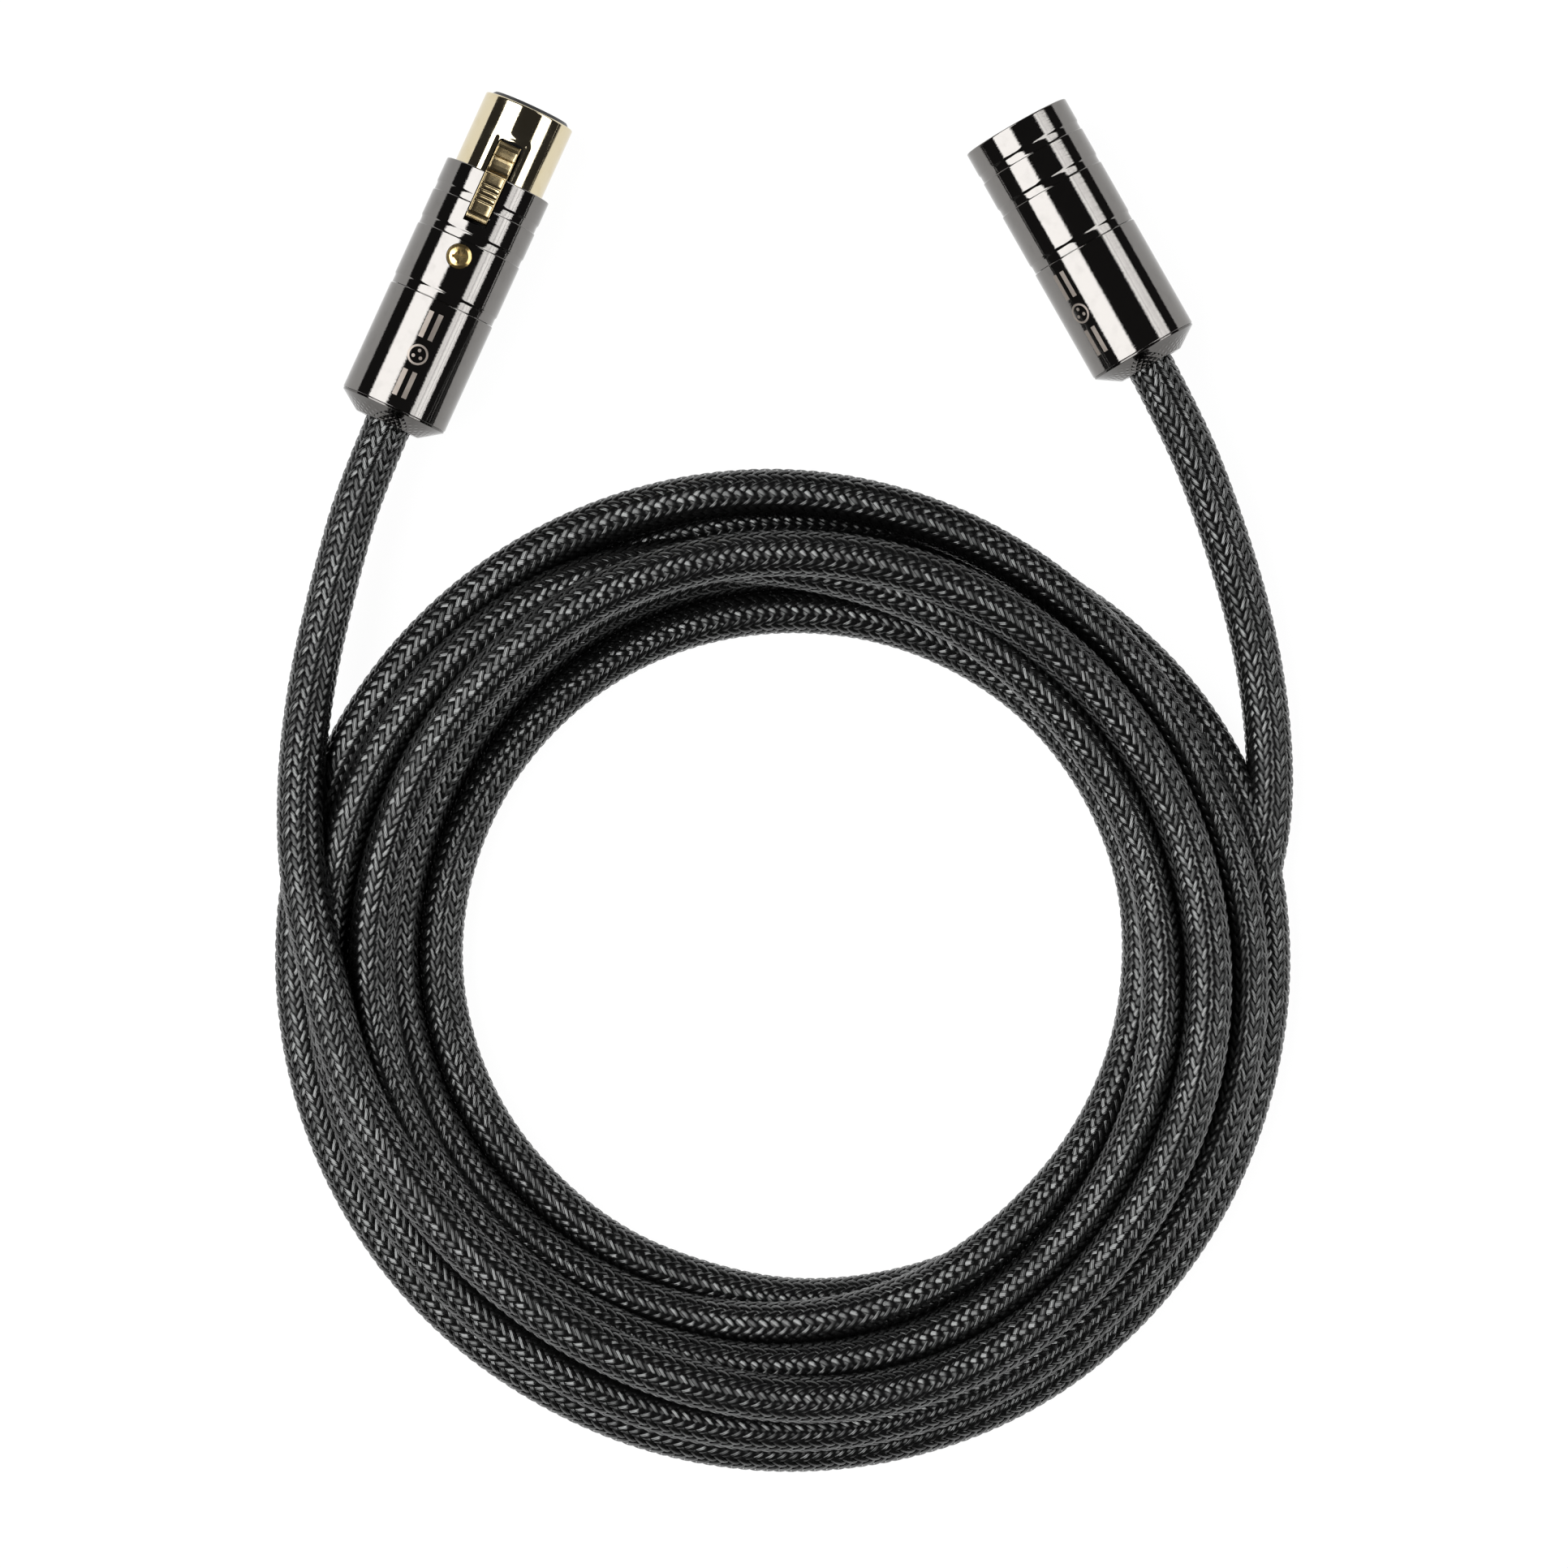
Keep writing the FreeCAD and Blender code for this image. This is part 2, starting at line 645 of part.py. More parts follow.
def latch():
    """The lever that locks the female connector in its mate, with its pin and spring."""
    ribs = []
    count = int(size("rib_count"))
    for rib in range(count):
        pitch = f"(latch_pad_end - latch_pad_start) / {count}"
        start = f"latch_pad_start + ({rib} + 0.25) * {pitch}"
        end = f"latch_pad_start + ({rib} + 0.75) * {pitch}"
        ribs += [
            (start, "latch_pad_top"),
            (start, "latch_pad_top + rib_height"),
            (end, "latch_pad_top + rib_height"),
            (end, "latch_pad_top"),
        ]
    profile = [
        ("latch_start", "latch_under"),
        ("latch_start", "latch_pad_top - 0.4"),
        ("latch_start + 0.5", "latch_lip_top"),
        ("latch_pad_start - 0.5", "latch_lip_top"),
        ("latch_pad_start", "latch_pad_top"),
        *ribs,
        ("latch_pad_end", "latch_pad_top"),
        ("latch_pad_end + 0.2", "latch_pad_top + rib_height"),
        ("female_housing_end + 0.2", "latch_pad_top + rib_height"),
        ("female_housing_end + 0.9", "latch_dish + 0.2"),
        ("(female_housing_end + latch_hook_start) / 2", "latch_dish"),
        ("latch_hook_start", "latch_dish + 0.1"),
        ("latch_hook_start", "latch_hook_top"),
        ("latch_hook_start + latch_hook_flat", "latch_hook_top"),
        ("latch_end", "latch_under + latch_nose_height"),
        ("latch_end", "latch_under"),
    ]
    body = doc.addObject("PartDesign::Body", "female_latch_body")
    sketch = outline(body, [(height, along) for along, height in profile], "YZ_Plane")
    pad = body.newObject("PartDesign::Pad", "female_latch_pad")
    pad.Profile = sketch
    pad.Midplane = True
    pad.setExpression("Length", sized("latch_width"))
    eye = cross_pin("latch_eye", "latch_pin_radius + running_gap")
    connector_piece(less("female_latch_cut", body, eye), "female", "latch")
    pin = cross_pin("latch_pin_rod", "latch_pin_radius")
    connector_piece(carried("latch_pin_placed", pin), "female", "latch_pin")

    wire = size("spring_wire_radius")
    low = size("channel_floor") + wire
    high = size("latch_under - running_gap") - wire
    helix = Part.makeHelix(size("spring_pitch"), high - low, size("spring_radius"))
    section = Part.makeCircle(
        wire, FreeCAD.Vector(size("spring_radius"), 0, 0), FreeCAD.Vector(0, 1, 0)
    )
    coil = Part.Wire(helix.Edges).makePipeShell([Part.Wire([section])], True, True)
    coil.Placement = FreeCAD.Placement(
        FreeCAD.Vector(0, low, size("spring_place")), FreeCAD.Rotation(FreeCAD.Vector(1, 0, 0), -90)
    )
    spring = doc.addObject("Part::Feature", "latch_spring_coil")
    spring.Shape = Part.makeCompound([coil])
    connector_piece(spring, "female", "latch_spring")


def male_front():
    """The housing with its mouth, the insert, pins, ground ring and screw."""
    end = "male"
    barrel = "male_barrel_radius"
    shoulder = "mouth_radius - shoulder_lip"
    blank = turned(
        "male_housing_blank",
        [
            (shoulder, "male_sleeve_length - thread_length"),
            ("thread_radius", "male_sleeve_length - thread_length"),
            ("thread_radius", "male_sleeve_length"),
            (f"{barrel} - groove_depth", "male_sleeve_length"),
            (f"{barrel} - groove_depth", "male_sleeve_length + groove_width - groove_edge"),
            (barrel, "male_sleeve_length + groove_width"),
            *groove(barrel, "male_groove_two"),
            *groove(barrel, "male_groove_three"),
            (barrel, "male_housing_end"),
            ("mouth_radius + mouth_chamfer", "male_housing_end"),
            ("mouth_radius", "male_housing_end - mouth_chamfer"),
            ("mouth_radius", "male_insert_start"),
            (shoulder, "male_insert_start"),
        ],
    )
    notch = box(
        "latch_notch",
        ("0 - latch_width / 2 - notch_gap", "latch_width / 2 + notch_gap"),
        ("mouth_radius - 1", "nose_radius + latch_hook_rise + running_gap"),
        (
            "male_housing_end - latch_ahead - notch_gap",
            "male_housing_end - latch_hook_ahead + running_gap",
        ),
    )
    housing = less(
        "male_housing_cut", blank, notch, *screw_holes(end, "screw_radius + seam_gap", -1)
    )
    connector_piece(housing, end, "housing")

    block = turned(
        "male_insert_blank",
        [
            ("0", "male_insert_start"),
            ("mouth_radius - running_gap", "male_insert_start"),
            ("mouth_radius - running_gap", "male_insert_end"),
            ("0", "male_insert_end"),
        ],
    )
    holes = [
        rod(
            f"male_hole_{number}",
            "socket_radius + running_gap",
            ("male_insert_start - 1", "male_insert_end + 1"),
            *contact_place(end, number),
        )
        for number in CONTACT_TURNS[end]
    ]
    screw_hole = upright(
        "male_insert_screw_hole",
        "screw_radius + running_gap",
        ("0 - mouth_radius - 1", "0 - male_screw_reach + 0.3"),
        "screw_place",
    )
    connector_piece(less("male_insert_cut", block, screw_hole, *holes), end, "insert")

    tip = "male_housing_end - pin_setback"
    cup_start = "male_insert_start - cup_reach"
    for number in CONTACT_TURNS[end]:
        pin = turned(
            f"male_pin_{number}",
            [
                ("0", f"{cup_start} + cup_length"),
                ("cup_bore_radius", f"{cup_start} + cup_length"),
                ("cup_bore_radius", cup_start),
                ("cup_radius", cup_start),
                ("cup_radius", "male_insert_start + 1"),
                ("socket_radius", "male_insert_start + 1"),
                ("socket_radius", "male_insert_end"),
                ("pin_radius", "male_insert_end"),
                ("pin_radius", f"{tip} - pin_tip"),
                ("pin_radius - pin_tip", tip),
                ("0", tip),
            ],
        )
        stand_at(pin, end, number)

    ground_ring(end, shoulder, "male_insert_start")
    retaining_screw(end, -1)
    rear_end(end, cup_start)


# Routes of the two stretches that aren't coiled, on the floor frame, from each connector to the coil.
FEMALE_ROUTE = [
    (-75.0, 33.4, 9.8),
    (-78.7, 16.8, 11.4),
    (-80.4, 0.5, 14.8),
    (-79.9, -15.6, 18.0),
    (-76.6, -31.0, 19.0),
]
MALE_ROUTE = [
    (73.6, 43.0, 7.2),
    (79.0, 25.2, 4.9),
    (81.6, 9.2, 4.0),
    (81.9, -6.0, 4.0),
    (78.6, -20.5, 4.0),
]


def tail(end, route):
    """The free stretch of cable between a connector's collet and the coil."""
    heading = FreeCAD.Rotation(FreeCAD.Vector(0, 0, 1), size(f"{end}_heading"))
    on_axis = [size("cable_end"), -size("cable_lead_out")]
    points = [barrel_middle(end) + heading.multVec(FreeCAD.Vector(0, along, 0)) for along in on_axis]
    points += [FreeCAD.Vector(*point) for point in route]
    piece = doc.addObject("Part::Feature", f"{end}_tail_tube")
    piece.Shape = tube(points, size("cable_diameter / 2"))
    finish(piece, f"{end}_tail")


def coil():
    """The whole coil as one ring of its outer shape."""
    ring = turned(
        "coil_body",
        [
            ("coil_inner_radius", "0"),
            ("coil_outer_radius", "0"),
            ("coil_outer_radius", "coil_outer_height"),
            ("coil_crown_outer", "coil_height"),
            ("coil_crown_inner", "coil_height"),
            ("coil_inner_radius", "coil_inner_height"),
        ],
    )
    ring.setExpression("Placement.Base.x", sized("coil_place_x"))
    ring.setExpression("Placement.Base.y", sized("coil_place_y"))
    finish(ring, "coil")


female_front()
male_front()
tail("female", FEMALE_ROUTE)
tail("male", MALE_ROUTE)
coil()
doc.recompute()

failed = [item.Label for item in doc.Objects if {"Invalid", "Error"} & set(item.State)]
failed += [part.Label for part in finished if part.Shape.isNull() or not part.Shape.isValid()]
if failed:
    raise SystemExit(f"these pieces failed: {failed}")

os.makedirs("parts", exist_ok=True)
for part in finished:
    part.Shape.exportStep(f"parts/{part.Label}.step")
    solids = len(part.Shape.Solids)
    print(f"{part.Label}: {solids} solid, {part.Shape.Volume:.1f} mm3")
print(f"{len(finished)} sub-parts")
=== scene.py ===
# %% [markdown]
# # A coiled microphone cable
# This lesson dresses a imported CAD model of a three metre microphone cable. The cable has a braided
# black sleeve, a latching female connector on one end and a male connector on the other, both plated
# in dark chrome and gold. The CAD model is loaded first and never changes: it says where everything
# is and how large. Each later step makes one piece or one finish, and prints what it made.

# %% Load the CAD frame
import math

import bmesh
import bpy
import numpy as np
from mathutils import Matrix, Vector


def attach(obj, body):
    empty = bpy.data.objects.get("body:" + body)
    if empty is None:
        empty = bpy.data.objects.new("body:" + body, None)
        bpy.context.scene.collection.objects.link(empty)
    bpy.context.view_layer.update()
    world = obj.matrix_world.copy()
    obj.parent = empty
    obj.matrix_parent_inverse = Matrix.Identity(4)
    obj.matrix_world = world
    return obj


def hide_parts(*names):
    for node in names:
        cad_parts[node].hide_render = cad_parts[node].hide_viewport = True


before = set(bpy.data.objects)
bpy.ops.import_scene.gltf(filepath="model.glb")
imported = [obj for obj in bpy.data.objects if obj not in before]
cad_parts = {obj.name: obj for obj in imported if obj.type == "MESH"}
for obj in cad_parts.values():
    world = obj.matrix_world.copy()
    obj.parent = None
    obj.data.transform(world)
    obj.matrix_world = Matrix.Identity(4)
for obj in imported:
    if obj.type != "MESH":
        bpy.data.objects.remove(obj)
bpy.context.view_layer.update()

MM = 0.001

# %% [markdown]
# ## Camera
# A product picture of a flat coil is usually taken from straight above. A long lens far away keeps
# both connectors undistorted. A camera in Blender looks down its own -Z, so with no rotation at all
# it already looks straight down, with +Y at the top of the picture.

# %% Camera
def link_new(name, data):
    """An object made of a mesh, a curve, a light or a camera, in the scene."""
    made_object = bpy.data.objects.new(name, data)
    bpy.context.scene.collection.objects.link(made_object)
    return made_object


camera_data = bpy.data.cameras.new("camera")
camera_data.sensor_width = 36.0
camera_data.lens = 163.5
camera = link_new("camera", camera_data)
camera.location = (0.0002, -0.0003, 1.2)
bpy.context.scene.camera = camera
print("lens", camera_data.lens, "mm,", round(camera.location.z, 2), "m above the floor")

# %% [markdown]
# ## Floor
# The floor is one plain sheet. Nearly all of its white is emission, and its diffuse colour is dark,
# so that shadows on it are very faint, as on a lit table. Two small helpers that fill in node
# sockets are used by every finish below.

# %% Floor
def plain_surface(name, half_width, half_length):
    """A flat rectangle round the origin, facing up."""
    corners = [(-half_width, -half_length, 0), (half_width, -half_length, 0)]
    corners += [(half_width, half_length, 0), (-half_width, half_length, 0)]
    mesh = bpy.data.meshes.new(name)
    mesh.from_pydata(corners, [], [(0, 1, 2, 3)])
    return link_new(name, mesh)


def feed(node, inputs):
    """Give a node's inputs their links or plain values."""
    for key, value in inputs.items():
        if isinstance(value, bpy.types.NodeSocket):
            node.id_data.links.new(value, node.inputs[key])
        else:
            node.inputs[key].default_value = value


def add_node(tree, kind, inputs, **settings):
    """A new node with its settings, and its inputs fed."""
    node = tree.nodes.new(kind)
    for label, value in settings.items():
        setattr(node, label, value)
    feed(node, inputs)
    return node


FLOOR_HALF = 4.0
floor = plain_surface("floor", FLOOR_HALF, FLOOR_HALF)
floor_paper = bpy.data.materials.new("floor_paper")
floor_paper.use_nodes = True
feed(floor_paper.node_tree.nodes["Principled BSDF"], {
    "Base Color": (0.07, 0.07, 0.07, 1), "Roughness": 0.8, "Specular IOR Level": 0.2,
    "Emission Color": (1, 1, 1, 1), "Emission Strength": 0.96,
})
floor.data.materials.append(floor_paper)
print("floor", 2 * FLOOR_HALF, "m wide")

# %% [markdown]
# ## Light
# Polished metal shows its surroundings, so its look is decided by what stands round it: here one
# large bright panel on the left, a dimmer uneven one on the right, a dark room, and the white floor
# below. The uneven panel is a plane that only reflections see, with noise in its emission, and a
# plain area light in the same place lights the rest of the scene without grain.

# %% Softboxes
LEFT_LEAN, RIGHT_LEAN = -34.8, 49.0
RIGHT_WIDTH = 1.6
PANEL_LENGTH = 4.0
PANEL_DISTANCE = 3.2


def panel_place(lean):
    """A spot at the panels' distance from the object, leaning that many degrees off the vertical
    towards +X, with its face turned to the object."""
    angle = math.radians(lean)
    place = Vector((math.sin(angle), 0, math.cos(angle))) * PANEL_DISTANCE
    return Matrix.Translation(place) @ Matrix.Rotation(angle, 4, "Y")


def softbox(name, lean, width, radiance):
    """A rectangular area light whose surface has that brightness."""
    light = bpy.data.lights.new(name, "AREA")
    light.shape = "RECTANGLE"
    light.size = width
    light.size_y = PANEL_LENGTH
    light.energy = radiance * math.pi * width * PANEL_LENGTH
    lamp = link_new(name, light)
    lamp.matrix_world = panel_place(lean)
    return lamp


left_box = softbox("left_box", LEFT_LEAN, 2.3, 4.6)
right_box = softbox("right_box", RIGHT_LEAN, RIGHT_WIDTH, 2.0)
right_box.visible_glossy = False

uneven_panel = plain_surface("uneven_panel", RIGHT_WIDTH / 2, PANEL_LENGTH / 2)
uneven_panel.data.flip_normals()
uneven_panel.matrix_world = panel_place(RIGHT_LEAN)
uneven_panel.visible_camera = False
uneven_panel.visible_diffuse = False
uneven_panel.visible_shadow = False
uneven_glow = bpy.data.materials.new("uneven_glow")
uneven_glow.use_nodes = True
glow_tree = uneven_glow.node_tree
glow_tree.nodes.clear()
where = add_node(glow_tree, "ShaderNodeTexCoord", {}).outputs["Object"]
stretch = add_node(glow_tree, "ShaderNodeMapping", {"Vector": where, "Scale": (1.3, 0.12, 1.0)})
streaks = add_node(
    glow_tree, "ShaderNodeTexNoise",
    {"Vector": stretch.outputs["Vector"], "Scale": 5.0, "Detail": 8.0, "Roughness": 0.75},
)
levels = add_node(
    glow_tree, "ShaderNodeMapRange",
    {"Value": streaks.outputs["Fac"], "From Min": 0.35, "From Max": 0.65, "To Min": 0.4, "To Max": 5.8},
)
glow = add_node(glow_tree, "ShaderNodeEmission", {"Strength": levels.outputs["Result"]})
add_node(glow_tree, "ShaderNodeOutputMaterial", {"Surface": glow.outputs["Emission"]})
uneven_panel.data.materials.append(uneven_glow)

room = bpy.data.worlds.new("dark_room")
room.use_nodes = True
room.node_tree.nodes["Background"].inputs["Color"].default_value = (0.03, 0.029, 0.029, 1)
bpy.context.scene.world = room
bpy.context.scene.view_settings.view_transform = "Standard"
print("lights:", left_box.name, right_box.name, uneven_panel.name)

# %% [markdown]
# ## The cord's line
# The cable is one cord from the male connector to the female one: a free stretch, six and a half
# loose turns that wander over each other, and another free stretch. Its centre line is a NURBS
# spline of order 3, which flows smoothly past its control points instead of through them.
# The free stretches are a few given points. Each turn is given by how far it lies from the
# coil's middle at a few places round the clock, because loose turns all differ. A loop then puts a
# point every 15 degrees and works out its height by laying the cord down in order: where an earlier
# turn lies under it, the new one rests on top, and a stiff cable bends up to such a spot gently.

# %% Route of the cord
CABLE = 0.008
MALE_STRETCH = [
    (0.053285, 0.084373, 0.00945),
    (0.066127, 0.061766, 0.00945),
    (0.0736, 0.0430, 0.0072),
    (0.0790, 0.0252, 0.0049),
    (0.0816, 0.0092, 0.0040),
    (0.0819, -0.0060, 0.0040),
    (0.0786, -0.0205, 0.0040),
]
FEMALE_STRETCH = [
    (-0.0766, -0.0310, 0.0190),
    (-0.0799, -0.0156, 0.0180),
    (-0.0804, 0.0005, 0.0148),
    (-0.0787, 0.0168, 0.0114),
    (-0.0750, 0.0334, 0.0098),
    (-0.069976, 0.051480, 0.0093),
    (-0.059194, 0.075139, 0.0093),
]

COIL_MIDDLE = (0.0001, -0.0307)
# Degrees clockwise from +Y, and millimetres from the middle, one line for each turn.
TURNS = [
    [(105, 69.6), (120, 64.8), (135, 61.5), (165, 57.6), (195, 55.1), (225, 55.4), (270, 57.8)],
    [(0, 59.6), (45, 61.4), (75, 61.5), (105, 59.9), (135, 58.4), (180, 59.8), (240, 63.5)]
    + [(270, 65.1)],
    [(0, 66.9), (90, 69.0), (165, 71.1), (270, 73.0)],
    [(0, 74.4), (30, 76.4), (60, 80.5), (75, 81.4), (105, 81.0), (150, 81.8), (210, 80.5), (285, 81.6)],
    [(0, 78.9), (60, 76.0), (105, 77.7), (150, 77.8), (240, 76.2), (300, 75.8), (330, 72.9)],
    [(0, 66.9), (15, 65.3), (45, 63.1), (90, 63.2), (120, 65.1), (150, 66.3), (210, 67.0), (255, 68.4)],
    [(0, 68.6), (90, 70.4), (150, 73.0), (165, 72.7), (195, 70.1), (210, 69.4), (225, 69.7)]
    + [(240, 71.3), (255, 73.8)],
]
STEP = 15
PER_TURN = 360 // STEP
# Two crossing turns press into each other a little. SAG is how quickly a bend falls off, in metres,
# and BEND_REACH how many points away it's still felt.
REST = 0.975 * CABLE
SAG = 0.0018
BEND_REACH = 4

marks = [(360 * turn + angle, radius) for turn, row in enumerate(TURNS) for angle, radius in row]
angles = np.arange(marks[0][0], marks[-1][0] + 1, STEP)
radii = np.interp(angles, *zip(*marks)) * MM


def lies_at(point, heights):
    """How high the cord's middle is at a point of the coil, resting on the earlier turns there."""
    height = CABLE / 2
    for below in range(point - PER_TURN, -1, -PER_TURN):
        apart = abs(radii[point] - radii[below])
        if apart < REST:
            height = max(height, heights[below] + math.sqrt(REST**2 - apart**2))
    return height


heights = []
for point in range(len(angles)):
    near = range(max(0, point - BEND_REACH), min(len(angles), point + BEND_REACH + 1))
    heights.append(max(lies_at(other, heights) - SAG * (other - point) ** 2 for other in near))
heights = np.maximum(heights, CABLE / 2)

# A control point stands a little outside the curve that it bends.
outside = 1 / math.cos(math.radians(STEP / 2))
turn_points = [
    (
        COIL_MIDDLE[0] + radius * outside * math.sin(math.radians(angle)),
        COIL_MIDDLE[1] + radius * outside * math.cos(math.radians(angle)),
        height,
    )
    for angle, radius, height in zip(angles, radii, heights)
]
route = MALE_STRETCH + turn_points + FEMALE_STRETCH
print(len(route), "points, turns reach", round(max(heights) / MM, 1), "mm high")

# %% [markdown]
# ## The cord
# The spline itself carries the cable's dark inner jacket, as a round bevel a little thinner than the
# finished cable. The order is set after the points are there: set before, Blender lowers it.

# %% Inner jacket on the spline
JACKET_SHARE = 0.46
jacket_curve = bpy.data.curves.new("cable_jacket", "CURVE")
jacket_curve.dimensions = "3D"
spline = jacket_curve.splines.new("NURBS")
spline.points.add(len(route) - 1)
for control, place in zip(spline.points, route):
    control.co = (*place, 1.0)
spline.use_endpoint_u = True
spline.order_u = 3
spline.resolution_u = 8
cable_jacket = link_new("cable_jacket", jacket_curve)

bare_line = bpy.data.meshes.new_from_object(cable_jacket)
line_points = np.array([vertex.co for vertex in bare_line.vertices])
line_lengths = np.linalg.norm(np.diff(line_points, axis=0), axis=1)
cord_length = float(line_lengths.sum())
jacket_curve.bevel_depth = JACKET_SHARE * CABLE
jacket_curve.bevel_resolution = 3
print("spline order", spline.order_u, "and", round(cord_length, 3), "m long")

# %% [markdown]
# ## Finishes: metal
# Each finish is a small node tree. What several metals share, the faint rings left by turning, a
# slight waviness of the plating and a few smudges, is a node group, built once. A group hands out
# only values and normals, and every Principled BSDF stays in its own material.
# The pattern has to run round each barrel, so a Mapping node first turns Object coordinates into
# the connector's own frame: +Z forward along the barrel and +Y to the latch side.

# %% Connector frames and the shared metal group
PLACES = {
    "female": ((-65.0, 62.4, 9.3), -24.5, 0.0),
    "male": ((60.2, 72.2, 9.45), 29.6, -39.0),
}
# Group sockets with these names are vectors or colours, and all others are plain numbers.
SOCKET_KINDS = {"Vector": "Vector", "Normal": "Vector", "Colour": "Color"}
METAL_RELIEF = 0.000004


def own_frame(end):
    """The matrix that lays a connector drawn in millimetres down in its place, in metres."""
    place, heading, roll = PLACES[end]
    forward = Matrix.Rotation(math.radians(heading), 4, "Z")
    level = Matrix.Rotation(math.pi, 4, Vector((0, 1, 1)).normalized())
    turned = Matrix.Rotation(math.radians(roll), 4, "Z")
    return Matrix.Translation(Vector(place) * MM) @ forward @ level @ turned @ Matrix.Scale(MM, 4)


def new_group(name, inputs, outputs):
    """An empty shader group: named inputs with their defaults, and named outputs."""
    group = bpy.data.node_groups.new(name, "ShaderNodeTree")
    for way, labels in (("INPUT", inputs), ("OUTPUT", outputs)):
        for label in labels:
            kind = "NodeSocket" + SOCKET_KINDS.get(label, "Float")
            socket = group.interface.new_socket(label, in_out=way, socket_type=kind)
            if way == "INPUT" and inputs[label] is not None:
                socket.default_value = inputs[label]
    return group, group.nodes.new("NodeGroupInput").outputs, group.nodes.new("NodeGroupOutput")


# These helpers find the node tree through the sockets they are given.
def noise(vector, scale, detail=2.0, roughness=0.5):
    """A noise texture's value, between 0 and 1."""
    inputs = {"Vector": vector, "Scale": scale, "Detail": detail, "Roughness": roughness}
    return add_node(vector.id_data, "ShaderNodeTexNoise", inputs).outputs["Fac"]


def maths(operation, *values):
    """The result of a Math node on sockets and plain numbers."""
    tree = next(value.id_data for value in values if isinstance(value, bpy.types.NodeSocket))
    return add_node(tree, "ShaderNodeMath", dict(enumerate(values)), operation=operation).outputs[0]


def times(first, second):
    """Two numbers multiplied."""
    return maths("MULTIPLY", first, second)


def times_plus(first, second, third):
    """Two numbers multiplied, and a third one added."""
    return maths("MULTIPLY_ADD", first, second, third)


def vector_maths(operation, first, second):
    """A vector scaled by a number, or put together with another vector."""
    inputs = {0: first, "Scale" if operation == "SCALE" else 1: second}
    return add_node(first.id_data, "ShaderNodeVectorMath", inputs, operation=operation).outputs[0]


def ranged(value, low, high, to_low, to_high):
    """A value carried from one range to another, and held inside it."""
    inputs = {"Value": value, "From Min": low, "From Max": high, "To Min": to_low, "To Max": to_high}
    return add_node(value.id_data, "ShaderNodeMapRange", inputs).outputs["Result"]


def bump(height, distance, **normal):
    """A normal bumped by a height, in metres when the height runs from 0 to 1."""
    inputs = {"Distance": distance, "Height": height, **normal}
    return add_node(height.id_data, "ShaderNodeBump", inputs).outputs["Normal"]


worked_metal, given, made = new_group(
    "worked_metal",
    {"Vector": None, "Roughness": 0.08, "Smudge": 0.1, "Waviness": 0.5, "Rings": 0.5},
    ("Roughness", "Normal", "Tarnish"),
)
along = given["Vector"]
smudges = ranged(noise(along, 160, 4, 0.6), 0.45, 0.75, 0, 1)
rings = noise(vector_maths("MULTIPLY", along, (60, 60, 4200)), 1, 3)
waves = noise(vector_maths("MULTIPLY", along, (600, 600, 2600)), 1, 4, 0.65)
ring_height = times(rings, given["Rings"])
relief = times_plus(waves, given["Waviness"], ring_height)
feed(made, {
    "Roughness": times_plus(smudges, given["Smudge"], given["Roughness"]),
    "Normal": bump(relief, METAL_RELIEF),
    "Tarnish": ranged(noise(along, 420, 3), 0.5, 0.8, 0, 1),
})
print("shared groups:", [group.name for group in bpy.data.node_groups])

# %% [markdown]
# ## Metals
# Plated metal is fully metallic: its base colour is the tint of its reflections. Black nickel takes a
# dark, slightly warm grey, and thin gold plating a pale champagne. Constants go straight on the
# shader's own sockets. A second group adds a diamond knurl, which fades out towards the cap's rim.

# %% Chrome, gold and steel
KNURL_TEETH = 34.0
KNURL_SPIRAL = 5200.0
KNURL_DEPTH = 0.00003
KNURL_FADE = (0.0072, 0.0086)


def blank_material(name):
    """A material with its Principled BSDF and its texture coordinates."""
    material = bpy.data.materials.new(name)
    material.use_nodes = True
    nodes = material.node_tree.nodes
    return material, nodes["Principled BSDF"], nodes.new("ShaderNodeTexCoord").outputs


def use_group(group, vector, **inputs):
    """The outputs of a shared group, used in the tree that the vector comes from."""
    inputs["Vector"] = vector
    return add_node(vector.id_data, "ShaderNodeGroup", inputs, node_tree=group).outputs


def tinted(mask, low, high):
    """One of two colours, or a mix of both by a mask."""
    inputs = {0: mask, 6: (*low, 1), 7: (*high, 1)}
    return add_node(mask.id_data, "ShaderNodeMix", inputs, data_type="RGBA").outputs[2]


def connector_coordinates(coordinates, end):
    """Object coordinates turned into a connector's own frame, still in metres."""
    back = (own_frame(end) @ Matrix.Scale(1 / MM, 4)).inverted()
    inputs = {"Vector": coordinates, "Location": back.translation, "Rotation": back.to_euler()}
    return add_node(coordinates.id_data, "ShaderNodeMapping", inputs).outputs["Vector"]


knurl, given, made = new_group("knurl", {"Vector": None, "Normal": None}, ("Normal",))
side, up, _ = add_node(knurl, "ShaderNodeSeparateXYZ", {0: given["Vector"]}).outputs
knurl_turn = times(maths("ARCTAN2", side, up), KNURL_TEETH)
knurl_out = maths("SQRT", times_plus(side, side, times(up, up)))
knurl_step = times(knurl_out, KNURL_SPIRAL)
lines = [maths("SINE", maths(kind, knurl_turn, knurl_step)) for kind in ("ADD", "SUBTRACT")]
faded = ranged(knurl_out, *KNURL_FADE, 1.0, 0.0)
knurl_height = times(maths("MAXIMUM", *lines), faded)
feed(made, {"Normal": bump(knurl_height, KNURL_DEPTH, Normal=given["Normal"])})


